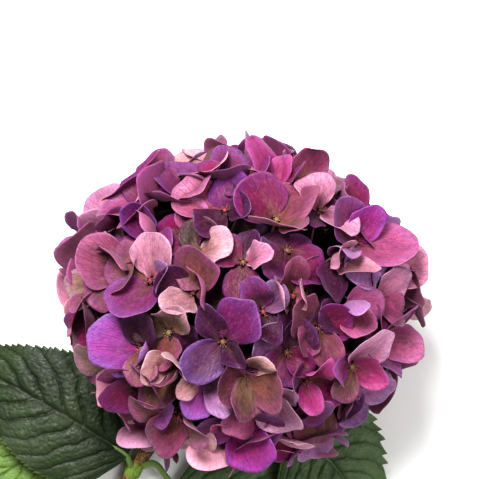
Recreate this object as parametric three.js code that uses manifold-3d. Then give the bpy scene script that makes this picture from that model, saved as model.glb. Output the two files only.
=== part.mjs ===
// A cut mophead hydrangea lying on a table, in millimetres, +Z up, lowest points on z = 0.
// The flower head rests on its side, its stem bends down behind it and lies along the table.
// The head is a dome of sterile florets. Two to five florets share one stalk (a cymule), the smaller ones deeper, and all
// stalks meet the branching cyme inside the head. Two opposite pairs of leaves grow on the stem.
import * as THREE from 'three';
import Module from 'manifold-3d';
import { mergeVertices } from 'three/addons/utils/BufferGeometryUtils.js';

const wasm = await Module();
wasm.setup();

// ---- driving dimensions (mm, degrees) ----
const HEAD_CENTRE_Z = 73;          // middle of the head above the table
const HEAD_AXIS_UP = 42;           // how far the head's axis looks up
const HEAD_AXIS_PLAN = 56;         // its direction in plan, from +X towards +Y
const HUB_BACK = 20;               // the cyme's hub behind the head's middle
const HUB_RADIUS = 4.6;
const BRANCH_END = 23.4;           // where the cyme branches end, from the hub
const STALK_START = 24.0;          // where the cymule stalks begin: 0.6 mm clear of the branch ends
const STALK_RADIUS = 1.15;
const PEDICEL_RADIUS = 0.8;
const FLORET_THICKNESS = 1.5;      // at the eye, down to nothing at the sepal edge
const CELL_GAP = 0.5;              // clear space between neighbouring florets
const CUP = 0.24;                  // how far the sepals rise per mm outwards
const STEM_NECK = 22;              // straight length behind the hub before the stem bends
const STEM_BEND_RADIUS = 166;
const STEM_LYING = 150;            // length lying along the table
const STEM_SWING = 20;             // how far the lying part turns in plan, degrees
const STEM_RADIUS_TOP = 3.1;
const STEM_RADIUS_LOW = 4.3;
const LEAF_THICKNESS = 0.9;
// moves the whole flower so that the middle of its box in plan is the origin
const SHIFT = [41.2778, 85.1191];

// floret: eye x, y, z, outward direction x, y, z, cymule number, sepal directions, sepal lengths
const FLORETS = [
  [-69.4, 45.6, 93.7, -0.73, 0.61, 0.31, 19, [34, 206, 278, 141], [23, 20, 20, 17]],
  [-49.8, 32.6, 126.1, -0.5, 0.42, 0.76, 11, [98, 33, 203, 325], [23, 22, 18, 15]],
  [-48.8, 9.4, 138.8, -0.46, 0.11, 0.88, 13, [152, 75, 10, 231], [27, 24, 14, 26]],
  [-78.8, 12.3, 107.3, -0.84, 0.17, 0.52, 26, [91, 198, 264, 25], [23, 21, 23, 16]],
  [-85.7, -17.6, 75.1, -0.97, -0.26, 0.04, 37, [34, 147, 329, 213], [16, 17, 15, 16]],
  [-53.8, -27.5, 132.3, -0.5, -0.33, 0.8, 28, [183, 341, 97, 275], [27, 12, 20, 18]],
  [-72.2, -35.4, 100.5, -0.77, -0.48, 0.42, 37, [167, 233, 298, 4], [20, 20, 20, 16]],
  [-38.8, -18.6, 136.8, -0.38, -0.23, 0.9, 25, [60, 152, 256, 330], [23, 21, 20, 18]],
  [-38.0, -36.2, 133.2, -0.36, -0.44, 0.82, 28, [31, 182, 248, 313], [23, 17, 25, 26]],
  [-25.7, 2.4, 145.9, -0.24, 0.03, 0.97, 13, [79, 14, 163, 228], [24, 25, 19, 18]],
  [-23.6, 24.8, 139.3, -0.23, 0.31, 0.92, 11, [0, 88, 180, 266], [20, 18, 18, 20]],
  [-8.3, 48.5, 133.2, -0.08, 0.58, 0.81, 4, [152, 84, 352, 228], [28, 21, 16, 20]],
  [19.5, 66.0, 115.1, 0.18, 0.8, 0.57, 2, [136, 71, 202, 348], [24, 16, 19, 20]],
  [19.9, 42.9, 137.0, 0.18, 0.5, 0.84, 0, [132, 52, 270, 347], [25, 26, 14, 16]],
  [25.7, 25.9, 136.9, 0.25, 0.33, 0.91, 0, [230, 321, 41, 143], [20, 22, 14, 14]],
  [44.3, 49.4, 124.7, 0.41, 0.59, 0.69, 1, [130, 335, 240, 40], [19, 21, 14, 14]],
  [50.8, 62.9, 80.1, 0.53, 0.84, 0.11, 3, [139, 25, 204, 320], [20, 17, 16, 16]],
  [63.8, 31.9, 121.1, 0.62, 0.4, 0.67, 1, [146, 81, 2, 296], [25, 22, 32, 24]],
  [76.8, 35.5, 78.4, 0.86, 0.51, 0.09, 9, [141, 33, 328, 207], [19, 18, 16, 14]],
  [52.9, 20.5, 131.8, 0.51, 0.25, 0.82, 1, [157, 328, 88, 260], [19, 23, 21, 20]],
  [57.8, -6.6, 131.4, 0.56, -0.08, 0.82, 7, [95, 14, 305, 203], [22, 19, 17, 16]],
  [76.8, 1.2, 113.8, 0.79, 0.02, 0.61, 12, [53, 327, 118, 252], [21, 19, 16, 18]],
  [86.9, -12.7, 75.5, 0.98, -0.18, 0.04, 20, [330, 35, 154, 219], [18, 15, 18, 14]],
  [61.4, -36.3, 120.5, 0.6, -0.45, 0.66, 18, [59, 333, 163, 233], [28, 20, 25, 18]],
  [36.3, -44.4, 128.7, 0.35, -0.54, 0.77, 14, [335, 56, 159, 269], [25, 19, 21, 19]],
  [4.4, -41.1, 140.6, 0.04, -0.48, 0.88, 22, [338, 269, 203, 54], [25, 23, 21, 27]],
  [-9.3, -24.4, 146.1, -0.08, -0.28, 0.96, 21, [121, 55, 226, 322], [21, 27, 25, 17]],
  [-19.8, -44.0, 133.2, -0.19, -0.54, 0.82, 21, [192, 258, 324, 108], [15, 21, 21, 14]],
  [12.5, -8.1, 146.9, 0.12, -0.1, 0.99, 5, [119, 53, 200, 287], [23, 16, 14, 18]],
  [28.9, 0.8, 144.0, 0.27, 0.01, 0.96, 5, [178, 12, 100, 280], [24, 21, 20, 18]],
  [42.8, -16.7, 135.9, 0.42, -0.21, 0.88, 7, [207, 141, 28, 286], [17, 24, 19, 19]],
  [25.2, -29.5, 138.3, 0.24, -0.36, 0.9, 14, [139, 50, 235, 330], [20, 18, 18, 15]],
  [-33.9, -63.6, 109.9, -0.33, -0.79, 0.52, 35, [172, 243, 309, 14], [27, 25, 23, 23]],
  [-52.9, -60.3, 90.7, -0.55, -0.8, 0.26, 45, [293, 188, 359, 122], [24, 18, 18, 15]],
  [-67.9, -50.8, 73.3, -0.72, -0.69, 0.0, 45, [326, 206, 32, 140], [19, 14, 19, 16]],
  [-2.8, -68.8, 114.3, -0.03, -0.83, 0.56, 36, [131, 16, 311, 196], [19, 25, 27, 21]],
  [12.1, -76.8, 71.8, 0.12, -0.99, -0.02, 38, [147, 33, 327, 213], [25, 22, 15, 16]],
  [29.4, -62.7, 113.9, 0.28, -0.77, 0.57, 27, [127, 13, 211, 299], [19, 19, 23, 19]],
  [45.7, -57.4, 106.2, 0.46, -0.74, 0.48, 27, [236, 329, 34, 171], [23, 21, 15, 15]],
  [65.5, -44.9, 99.8, 0.69, -0.6, 0.4, 18, [251, 324, 185, 30], [22, 24, 18, 15]],
  [81.4, -29.8, 74.5, 0.91, -0.42, 0.02, 20, [217, 330, 36, 151], [22, 16, 16, 15]],
  [1.6, 18.8, 145.9, 0.01, 0.22, 0.97, 4, [8, 146, 80, 268], [20, 17, 16, 18]],
  [-32.0, 37.3, 128.8, -0.32, 0.48, 0.81, 11, [50, 150, 230, 330], [17, 16, 16, 16]],
  [-60.9, -11.5, 122.0, -0.65, -0.16, 0.75, 25, [57, 137, 243, 317], [17, 16, 17, 16]],
  [-0.5, 7.5, 6.5, -0.0, 0.03, -1.0, 42, [211, 307, 31, 123], [24.8, 26.5, 24.4, 21.6]],
  [-12.8, 72.0, 43.0, -0.12, 0.9, -0.42, 23, [73, 169, 253, 332], [26.0, 24.4, 20.6, 21.5]],
  [36.9, -30.5, 11.0, 0.35, -0.37, -0.86, 40, [88, 177, 267, 358], [25.1, 24.6, 25.7, 21.2]],
  [50.1, 24.5, 15.1, 0.49, 0.31, -0.82, 24, [128, 236, 315, 43], [25.1, 25.7, 20.6, 25.2]],
  [-70.1, 16.7, 28.6, -0.72, 0.22, -0.66, 44, [6, 89, 188, 278], [24.1, 22.1, 20.6, 22.6]],
  [50.0, -49.0, 50.0, 0.58, -0.74, -0.34, 32, [253, 339, 69, 165], [26.5, 23.6, 21.9, 21.9]],
  [-24.6, 74.1, 90.9, -0.24, 0.94, 0.25, 6, [290, 22, 111, 206], [25.9, 22.1, 25.0, 21.7]],
  [24.9, 61.1, 29.8, 0.24, 0.76, -0.6, 15, [333, 63, 154, 247], [23.3, 24.4, 24.9, 22.3]],
  [70.4, -11.8, 27.6, 0.72, -0.16, -0.67, 29, [118, 204, 279, 11], [21.1, 23.1, 25.3, 20.5]],
  [-29.6, 45.1, 16.4, -0.28, 0.55, -0.78, 34, [126, 225, 303, 48], [22.2, 24.7, 21.9, 23.6]],
  [-54.7, 59.6, 53.5, -0.56, 0.78, -0.29, 30, [44, 151, 228, 334], [22.4, 21.1, 22.5, 26.0]],
  [20.0, -8.5, 6.5, 0.06, -0.03, -1.0, 42, [203, 292, 24, 105], [23.7, 22.5, 22.9, 21.1]],
  [26.4, 76.0, 72.3, 0.26, 0.97, -0.01, 10, [241, 331, 57, 142], [25.1, 24.1, 21.4, 22.7]],
  [-81.6, 26.1, 53.1, -0.88, 0.36, -0.31, 43, [337, 59, 149, 233], [20.5, 24.8, 23.4, 24.5]],
  [19.6, 42.4, 11.7, 0.19, 0.51, -0.84, 31, [313, 50, 143, 240], [23.7, 25.1, 20.6, 22.6]],
  [66.6, 49.4, 53.6, 0.69, 0.66, -0.29, 16, [344, 67, 166, 248], [22.6, 20.8, 26.5, 22.0]],
  [82.0, 25.4, 53.3, 0.88, 0.35, -0.31, 16, [13, 99, 195, 281], [24.8, 23.9, 20.8, 25.6]],
  [75.9, -33.5, 48.1, 0.8, -0.46, -0.38, 29, [3, 87, 192, 277], [26.0, 26.3, 21.9, 24.1]],
  [-3.1, 57.8, 21.5, -0.03, 0.71, -0.71, 31, [66, 163, 257, 347], [25.2, 25.0, 22.1, 26.0]],
  [-14.8, -77.2, 86.0, -0.15, -0.97, 0.18, 36, [5, 93, 181, 272], [26.1, 24.8, 25.1, 23.3]],
  [40.5, -70.7, 78.9, 0.41, -0.91, 0.08, 39, [3, 81, 174, 264], [21.8, 25.9, 22.1, 21.3]],
  [49.3, -3.9, 10.4, 0.48, -0.05, -0.88, 40, [111, 200, 294, 5], [22.5, 22.3, 22.8, 24.6]],
  [88.8, 12.1, 77.9, 0.98, 0.17, 0.08, 9, [111, 188, 286, 0], [24.1, 25.3, 21.9, 24.1]],
  [-51.0, 53.5, 108.6, -0.51, 0.69, 0.51, 19, [175, 252, 345, 75], [25.3, 23.3, 25.6, 23.2]],
  [-5.8, 67.4, 112.4, -0.06, 0.83, 0.55, 6, [255, 1, 90, 172], [25.1, 22.4, 21.4, 25.3]],
  [57.5, -47.0, 76.0, 0.68, -0.73, 0.03, 32, [44, 128, 234, 322], [20.8, 23.4, 23.7, 21.6]],
  [-45.6, 22.9, 12.1, -0.44, 0.28, -0.85, 44, [176, 272, 1, 87], [20.6, 21.4, 26.4, 25.1]],
  [62.5, 49.4, 100.3, 0.64, 0.65, 0.4, 3, [31, 114, 219, 294], [21.7, 20.5, 21.2, 26.2]],
  [-32.6, 73.3, 63.1, -0.32, 0.94, -0.14, 17, [222, 318, 49, 126], [24.8, 21.3, 24.7, 24.0]],
  [40.0, -53.9, 29.0, 0.39, -0.68, -0.62, 41, [199, 282, 34, 124], [22.3, 22.9, 24.8, 22.6]],
  [43.0, 66.1, 51.7, 0.43, 0.85, -0.31, 10, [144, 216, 328, 54], [23.0, 25.3, 21.0, 25.1]],
  [-35.8, 61.5, 36.0, -0.35, 0.77, -0.52, 23, [301, 25, 120, 211], [24.4, 24.0, 26.3, 25.7]],
  [13.3, 74.4, 49.0, 0.13, 0.93, -0.34, 15, [129, 208, 291, 21], [23.6, 20.6, 25.6, 21.1]],
  [-71.7, 47.6, 66.8, -0.76, 0.65, -0.09, 30, [144, 220, 326, 50], [24.3, 21.8, 26.1, 25.8]],
  [79.3, -21.9, 101.8, 0.85, -0.3, 0.44, 12, [250, 341, 71, 152], [21.1, 22.3, 24.9, 22.7]],
  [-5.9, 79.2, 69.2, -0.06, 1.0, -0.05, 8, [261, 334, 82, 157], [23.9, 23.6, 23.9, 26.0]],
  [-51.3, 64.6, 82.2, -0.52, 0.84, 0.13, 17, [315, 37, 147, 229], [24.6, 25.9, 22.4, 26.2]],
  [-53.6, -46.9, 113.9, -0.54, -0.6, 0.59, 35, [314, 46, 140, 215], [23.0, 25.6, 23.7, 23.1]],
  [-89.4, 5.5, 80.3, -0.99, 0.08, 0.12, 33, [54, 140, 235, 332], [20.7, 23.6, 26.0, 23.1]],
  [30.5, -70.9, 50.5, 0.3, -0.9, -0.32, 39, [286, 7, 95, 181], [25.5, 25.4, 24.6, 22.8]],
  [-81.7, -12.1, 102.3, -0.88, -0.17, 0.45, 37, [133, 216, 324, 40], [20.8, 23.5, 21.9, 21.4]],
  [-86.2, -1.3, 51.6, -0.94, -0.02, -0.34, 43, [150, 234, 316, 62], [24.5, 26.3, 24.5, 23.0]],
  [35.6, 68.0, 98.1, 0.35, 0.86, 0.36, 2, [95, 195, 280, 12], [22.9, 20.5, 22.5, 24.6]],
  [85.3, -2.8, 49.3, 0.93, -0.04, -0.37, 29, [33, 139, 228, 313], [24.7, 23.7, 25.9, 24.1]],
  [-7.2, 33.8, 6.5, -0.02, 0.12, -0.99, 34, [16, 91, 192, 265], [25.7, 24.3, 21.2, 24.1]],
  [16.1, -74.5, 95.6, 0.16, -0.93, 0.32, 38, [111, 220, 311, 23], [24.1, 26.3, 20.8, 22.5]],
  [49.8, 47.9, 29.9, 0.49, 0.61, -0.62, 24, [259, 336, 74, 155], [21.7, 25.3, 25.9, 23.8]],
  [78.7, 24.4, 101.2, 0.84, 0.33, 0.43, 9, [1, 103, 195, 288], [26.2, 24.1, 24.5, 22.2]],
  [71.5, 16.1, 30.0, 0.74, 0.21, -0.64, 16, [197, 305, 26, 128], [24.0, 25.8, 26.1, 20.6]],
  [-56.9, 42.1, 30.6, -0.57, 0.54, -0.61, 44, [97, 185, 267, 0], [23.5, 21.4, 24.2, 23.0]],
  [24.9, 16.5, 6.5, 0.07, 0.06, -1.0, 42, [105, 182, 286, 12], [24.6, 23.4, 21.5, 22.6]],
  [58.6, -35.7, 27.2, 0.59, -0.46, -0.66, 41, [10, 91, 180, 285], [25.8, 24.3, 22.4, 20.8]],
  [7.7, 76.6, 91.9, 0.08, 0.96, 0.27, 8, [16, 102, 183, 273], [22.4, 21.8, 20.6, 24.4]],
  [-65.4, 15.6, 122.4, -0.66, 0.2, 0.72, 26, [54, 146, 218, 326], [23.2, 25.1, 22.1, 21.4]],
  [-83.3, 28.3, 82.4, -0.91, 0.39, 0.15, 33, [110, 196, 289, 1], [23.4, 22.2, 26.0, 25.3]],
  [10.7, -54.9, 126.5, 0.1, -0.67, 0.73, 22, [39, 134, 229, 322], [21.2, 25.4, 22.9, 23.2]],
  [-28.5, 60.3, 115.7, -0.28, 0.75, 0.6, 6, [214, 298, 36, 118], [23.7, 21.0, 21.1, 21.9]],
  [-30.8, -59.6, 68.9, -0.2, -0.93, 0.32, 45, [238, 322, 51, 135], [18.2, 17.3, 17.9, 19.5]],
  [-66.1, -25.6, 53.2, -0.97, -0.18, -0.15, 43, [61, 157, 243, 339], [19.1, 18.1, 20.4, 16.5]],
  [-62.7, -8.2, 34.3, -0.88, 0.07, -0.47, 43, [269, 349, 94, 176], [17.6, 17.0, 19.8, 20.4]],
  [14.3, -39.9, 25.5, 0.48, -0.63, -0.61, 41, [5, 86, 182, 278], [19.5, 18.4, 16.5, 17.2]],
  [-9.3, -63.9, 61.7, -0.18, -0.98, -0.09, 38, [332, 72, 149, 256], [19.3, 18.5, 18.9, 18.9]],
  [-47.4, 0.1, 22.8, -0.72, 0.19, -0.67, 44, [11, 110, 201, 296], [18.1, 18.4, 18.1, 20.5]],
  [5.2, -64.7, 51.4, 0.07, -0.98, -0.2, 39, [293, 22, 124, 213], [16.7, 16.6, 17.6, 18.4]],
  [-56.7, 29.8, 105.2, -0.68, 0.48, 0.56, 19, [194, 285, 23, 102], [18.8, 19.5, 16.8, 16.9]],
  [55.6, 27.6, 39.8, 0.61, 0.67, -0.43, 16, [262, 337, 69, 174], [18.9, 20.2, 17.3, 17.6]],
  [-7.2, -5.5, 135.0, -0.06, 0.05, 1.0, 5, [248, 336, 66, 168], [17.5, 17.5, 19.1, 19.5]],
  [-59.0, 31.3, 49.0, -0.79, 0.6, -0.09, 30, [94, 186, 280, 14], [16.9, 17.0, 19.8, 19.3]],
  [73.5, -3.1, 91.8, 0.95, 0.15, 0.28, 12, [351, 68, 163, 253], [18.6, 19.0, 16.6, 17.9]],
  [57.1, 44.5, 70.9, 0.73, 0.66, 0.2, 3, [200, 292, 23, 120], [18.8, 18.2, 17.7, 19.0]],
  [-67.9, -32.8, 76.4, -0.9, -0.28, 0.33, 37, [306, 47, 122, 212], [17.2, 17.7, 16.7, 18.5]],
  [31.8, 32.7, 22.7, 0.65, 0.53, -0.55, 24, [278, 354, 82, 178], [19.7, 18.8, 17.1, 17.1]],
  [-36.7, 55.8, 93.2, -0.39, 0.88, 0.28, 6, [104, 194, 280, 3], [18.5, 17.9, 19.1, 16.7]],
  [-55.9, -26.5, 107.5, -0.76, -0.16, 0.63, 25, [99, 200, 287, 9], [20.4, 16.7, 18.9, 18.7]],
  [-27.4, -60.3, 85.2, -0.38, -0.77, 0.51, 36, [74, 171, 258, 355], [20.0, 17.0, 17.8, 20.4]],
  [-15.8, -51.2, 112.1, 0.1, -0.56, 0.82, 22, [33, 134, 226, 316], [20.5, 19.4, 18.0, 17.8]],
  [60.6, -16.3, 110.0, 0.74, 0.2, 0.64, 12, [220, 322, 44, 132], [19.0, 19.6, 18.7, 20.2]],
  [46.1, -19.1, 24.3, 0.84, 0.02, -0.54, 40, [352, 79, 178, 270], [20.4, 16.6, 16.8, 17.3]],
  [38.6, 47.1, 101.5, 0.42, 0.66, 0.62, 2, [113, 206, 290, 18], [17.6, 20.3, 20.2, 17.9]],
  [42.8, -55.8, 64.4, 0.82, -0.57, 0.07, 32, [95, 204, 295, 6], [19.5, 18.0, 18.3, 16.5]],
  [-50.0, -70.0, 66.0, -0.52, -0.8, 0.3, 45, [200, 292, 18, 108], [24.0, 25.0, 23.0, 22.0]],
  [52.5, 2.9, 24.3, 0.8, 0.41, -0.43, 29, [355, 75, 176, 262], [18.4, 20.3, 20.2, 20.2]],
  [59.2, -38.9, 61.4, 0.96, -0.26, 0.1, 32, [348, 79, 178, 276], [19.4, 18.1, 18.7, 19.4]],
  [28.7, -58.8, 89.7, 0.54, -0.61, 0.57, 27, [155, 250, 343, 61], [19.0, 20.1, 19.9, 19.3]],
  [0.6, 29.0, 128.3, 0.28, 0.5, 0.82, 4, [206, 289, 35, 119], [18.8, 19.9, 19.3, 18.3]],
  [57.8, 11.3, 113.8, 0.74, 0.07, 0.67, 1, [328, 49, 161, 243], [16.9, 19.5, 17.5, 20.1]],
  [6.6, 48.6, 117.5, 0.1, 0.83, 0.55, 0, [297, 28, 122, 202], [17.1, 18.0, 16.7, 17.5]],
  [36.0, 3.3, 125.5, 0.48, -0.03, 0.88, 7, [83, 157, 255, 351], [20.0, 17.7, 18.9, 17.2]],
  [44.2, -54.0, 86.3, 0.55, -0.77, 0.32, 18, [325, 69, 161, 247], [19.0, 17.7, 20.0, 16.9]],
  [-17.2, -59.2, 94.9, -0.12, -0.77, 0.63, 36, [337, 63, 158, 237], [19.9, 19.1, 19.0, 17.8]],
  [-19.0, 47.5, 29.6, -0.23, 0.89, -0.38, 23, [125, 210, 286, 28], [16.8, 17.3, 17.2, 19.8]],
  [-31.6, -44.7, 114.1, -0.5, -0.38, 0.77, 35, [235, 321, 71, 155], [18.5, 18.2, 19.7, 20.0]],
  [-68.2, 25.1, 93.3, -0.76, 0.38, 0.53, 33, [40, 142, 225, 302], [18.9, 18.6, 17.0, 17.9]],
  [62.2, -38.8, 81.3, 0.95, -0.19, 0.24, 20, [50, 140, 220, 317], [18.9, 20.3, 18.7, 18.0]],
  [-74.7, 9.2, 64.3, -0.95, 0.15, 0.27, 33, [348, 88, 171, 258], [16.9, 19.8, 19.0, 16.7]],
  [-56.7, -43.6, 86.8, -0.68, -0.4, 0.61, 45, [221, 313, 31, 141], [18.6, 18.4, 17.9, 17.7]],
  [7.2, -23.0, 132.8, 0.02, -0.2, 0.98, 14, [162, 249, 321, 64], [19.2, 20.2, 17.7, 19.6]],
  [73.2, -20.1, 56.5, 0.99, -0.11, -0.01, 29, [218, 310, 34, 112], [20.4, 20.1, 19.7, 18.4]],
  [22.3, 42.8, 115.6, 0.38, 0.63, 0.68, 0, [262, 2, 94, 180], [17.9, 17.6, 17.4, 16.6]],
  [1.8, 56.1, 40.0, 0.07, 0.95, -0.32, 15, [352, 89, 179, 264], [19.9, 17.8, 19.6, 17.9]],
  [-63.2, -3.3, 107.8, -0.73, 0.13, 0.67, 26, [327, 49, 138, 220], [17.8, 18.6, 18.2, 18.5]],
  [65.8, 32.3, 61.9, 0.85, 0.52, 0.0, 16, [172, 265, 346, 88], [17.1, 16.9, 17.1, 20.3]],
  [-1.9, -63.6, 89.6, 0.02, -0.92, 0.4, 36, [345, 76, 164, 256], [19.4, 17.8, 17.5, 17.6]],
  [-66.1, 8.7, 45.0, -0.95, 0.29, -0.09, 43, [338, 71, 166, 261], [18.1, 16.6, 17.1, 19.3]],
  [65.5, -0.6, 38.2, 0.96, 0.21, -0.19, 29, [167, 259, 353, 62], [17.5, 16.9, 20.1, 19.2]],
  [22.3, -64.0, 66.6, 0.52, -0.81, 0.27, 39, [339, 67, 161, 262], [20.2, 17.9, 17.6, 19.5]],
  [-21.8, -23.8, 126.2, -0.06, -0.03, 1.0, 21, [235, 318, 54, 144], [20.2, 19.3, 19.2, 18.1]],
  [48.2, 50.9, 60.5, 0.55, 0.83, -0.08, 10, [291, 16, 102, 211], [17.3, 20.5, 17.6, 18.0]],
  [-7.8, 64.8, 92.5, 0.05, 0.95, 0.32, 8, [19, 101, 188, 280], [19.9, 17.3, 17.4, 18.4]],
  [23.1, 62.2, 56.8, 0.23, 0.97, -0.11, 10, [6, 94, 188, 271], [20.4, 17.9, 20.0, 17.0]],
];

const rad = (d) => (d * Math.PI) / 180;
const V = (x, y, z) => new THREE.Vector3(x, y, z);
const AXIS = V(Math.cos(rad(HEAD_AXIS_UP)) * Math.cos(rad(HEAD_AXIS_PLAN)),
  Math.cos(rad(HEAD_AXIS_UP)) * Math.sin(rad(HEAD_AXIS_PLAN)), Math.sin(rad(HEAD_AXIS_UP)));
const HUB = V(0, 0, HEAD_CENTRE_Z).addScaledVector(AXIS, -HUB_BACK);

// ---- closed meshes and solids ----
function meshOf(points, faces) {
  const g = new THREE.BufferGeometry();
  g.setAttribute('position', new THREE.Float32BufferAttribute(points.flatMap((p) => [p.x, p.y, p.z]), 3));
  g.setIndex(faces.flat());
  return g;
}
function solidOf(geometry) {
  const g = geometry.clone();
  g.deleteAttribute('normal');
  g.deleteAttribute('uv');
  const m = mergeVertices(g, 1e-4);
  return new wasm.Manifold(new wasm.Mesh({
    numProp: 3,
    vertProperties: new Float32Array(m.attributes.position.array),
    triVerts: new Uint32Array(m.index.array),
  }));
}
function geometryOf(solid) {
  const m = solid.getMesh();
  const g = new THREE.BufferGeometry();
  g.setAttribute('position', new THREE.BufferAttribute(new Float32Array(m.vertProperties), 3));
  g.setIndex(new THREE.BufferAttribute(new Uint32Array(m.triVerts), 1));
  g.computeVertexNormals();
  return g;
}
function largest(solid) {
  const bodies = solid.decompose();
  bodies.sort((a, b) => b.volume() - a.volume());
  return bodies[0];
}
// a tapered rod through a list of points, with one radius per point
function rod(points, radii, sides) {
  const pts = [];
  const faces = [];
  const n = points.length;
  let ref = null;
  for (let i = 0; i < n; i++) {
    const t = points[Math.min(i + 1, n - 1)].clone().sub(points[Math.max(i - 1, 0)]).normalize();
    if (!ref) ref = Math.abs(t.z) < 0.9 ? V(0, 0, 1) : V(1, 0, 0);
    const e1 = ref.clone().addScaledVector(t, -ref.dot(t)).normalize();
    ref = e1;
    const e2 = t.clone().cross(e1);
    for (let k = 0; k < sides; k++) {
      const a = (2 * Math.PI * k) / sides;
      pts.push(points[i].clone().addScaledVector(e1, radii[i] * Math.cos(a)).addScaledVector(e2, radii[i] * Math.sin(a)));
    }
  }
  for (let i = 0; i < n - 1; i++) {
    for (let k = 0; k < sides; k++) {
      const a = i * sides + k;
      const b = i * sides + ((k + 1) % sides);
      faces.push([a, b, b + sides], [a, b + sides, a + sides]);
    }
  }
  for (let k = 1; k < sides - 1; k++) {
    faces.push([0, k + 1, k]);
    const o = (n - 1) * sides;
    faces.push([o, o + k, o + k + 1]);
  }
  return meshOf(pts, faces);
}

// ---- florets: each keeps inside its own cone from the hub, so no two can meet ----
const florets = FLORETS.map((f) => {
  const eye = V(f[0], f[1], f[2]);
  const n = V(f[3], f[4], f[5]).normalize();
  const x = Math.abs(n.x) < 0.95 ? V(1, 0, 0) : V(0, 1, 0);
  const e1 = x.addScaledVector(n, -x.dot(n)).normalize();
  return { eye, n, e1, e2: n.clone().cross(e1), group: f[6], dirs: f[7], lens: f[8], u: eye.clone().sub(HUB).normalize() };
});
function onTable(p) {
  if (p.z >= 0) return p;
  return HUB.clone().add(p.clone().sub(HUB).multiplyScalar(HUB.z / (HUB.z - p.z)));
}
function floretGeometry(f, fork) {
  const walls = florets.filter((g) => g !== f && g.u.distanceTo(f.u) < 1.2)
    .map((g) => f.u.clone().sub(g.u).normalize());
  const out = f.n.dot(f.u) > 0.35 ? f.n : f.u;
  const ring = [];
  const order = f.dirs.map((d, k) => [((d % 360) + 360) % 360, f.lens[k]]).sort((a, b) => a[0] - b[0]);
  order.forEach(([d, len], k) => {
    const next = order[(k + 1) % 4][0] + (k === 3 ? 360 : 0);
    const half = (next - d) / 2;
    [[-0.33, 0.84], [0, 1], [0.33, 0.84]].forEach(([s, q]) => ring.push([d + s * 90, len * 0.86 * q]));
    ring.push([d + Math.max(half, 8), Math.min(len, 20) * 0.46]);
  });
  ring.sort((a, b) => a[0] - b[0]);
  const eye = f.eye;
  const pts = [];
  ring.forEach(([a, r]) => {
    const d = f.e1.clone().multiplyScalar(Math.cos(rad(a))).addScaledVector(f.e2, Math.sin(rad(a))).addScaledVector(out, CUP);
    let t = r;
    walls.forEach((m) => {
      const slope = d.dot(m);
      const room = eye.clone().sub(HUB).dot(m) - CELL_GAP / 2;
      if (slope < 0) t = Math.min(t, Math.max(room / -slope, 1.5));
    });
    pts.push(onTable(eye.clone().addScaledVector(d, t)));
  });
  const n = pts.length;
  pts.push(onTable(eye.clone().addScaledVector(f.u, 0.35)));
  const faces = [];
  for (let k = 0; k < n; k++) faces.push([n, k, (k + 1) % n]);
  // the pedicel: a square rod from under the eye down to the fork
  const base = n + 1;
  const step = n / 4;
  [[eye.clone().addScaledVector(f.u, -FLORET_THICKNESS), PEDICEL_RADIUS * 1.15], [fork, PEDICEL_RADIUS]].forEach(([p, r]) => {
    for (let k = 0; k < 4; k++) {
      const a = rad(ring[Math.round(k * step) % n][0]);
      pts.push(p.clone().addScaledVector(f.e1, r * Math.cos(a)).addScaledVector(f.e2, r * Math.sin(a)));
    }
  });
  for (let k = 0; k < 4; k++) {
    const from = Math.round(k * step);
    const to = Math.round((k + 1) * step);
    const q = base + k;
    const qn = base + ((k + 1) % 4);
    const mid = Math.round((from + to) / 2);
    for (let i = from; i < to; i++) faces.push([i < mid ? q : qn, (i + 1) % n, i]);
    faces.push([q, qn, mid % n]);
    faces.push([q, q + 4, qn + 4], [q, qn + 4, qn]);
  }
  faces.push([base + 4, base + 6, base + 5], [base + 4, base + 7, base + 6]);
  return meshOf(pts, faces);
}
function cymule(members) {
  const mean = V(0, 0, 0);
  let reach = 0;
  members.forEach((f) => { mean.add(f.u); reach += f.eye.distanceTo(HUB) / members.length; });
  mean.normalize();
  const fork = HUB.clone().addScaledVector(mean, Math.max(STALK_START + 8, reach * 0.62));
  const start = HUB.clone().addScaledVector(mean, STALK_START);
  let solid = solidOf(rod([start, fork.clone().addScaledVector(mean, 0.6)], [STALK_RADIUS, STALK_RADIUS], 5));
  members.forEach((f) => {
    solid = solid.add(solidOf(floretGeometry(f, fork)));
  });
  return { solid, start, mean };
}

// ---- the head ----
const COLOURS = [0xd9a0b8, 0xb4668f, 0xe0b7b3, 0x9a5a9c, 0xc98aa0, 0xa57a86, 0x8f4c78, 0xc9a6bd];
const group = new THREE.Group();
const flower = new THREE.Group();
flower.position.set(SHIFT[0], SHIFT[1], 0);
group.add(flower);
function addNode(name, geometry, colour, roughness) {
  const mesh = new THREE.Mesh(geometry, new THREE.MeshStandardMaterial({ color: colour, roughness, metalness: 0 }));
  mesh.name = name;
  flower.add(mesh);
}
const count = Math.max(...florets.map((f) => f.group)) + 1;
const stalks = [];
for (let g = 0; g < count; g++) {
  const c = cymule(florets.filter((f) => f.group === g));
  stalks.push(c);
  addNode(`cymule_${String(g + 1).padStart(2, '0')}`, geometryOf(c.solid), COLOURS[g % COLOURS.length], 0.6);
}

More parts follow.
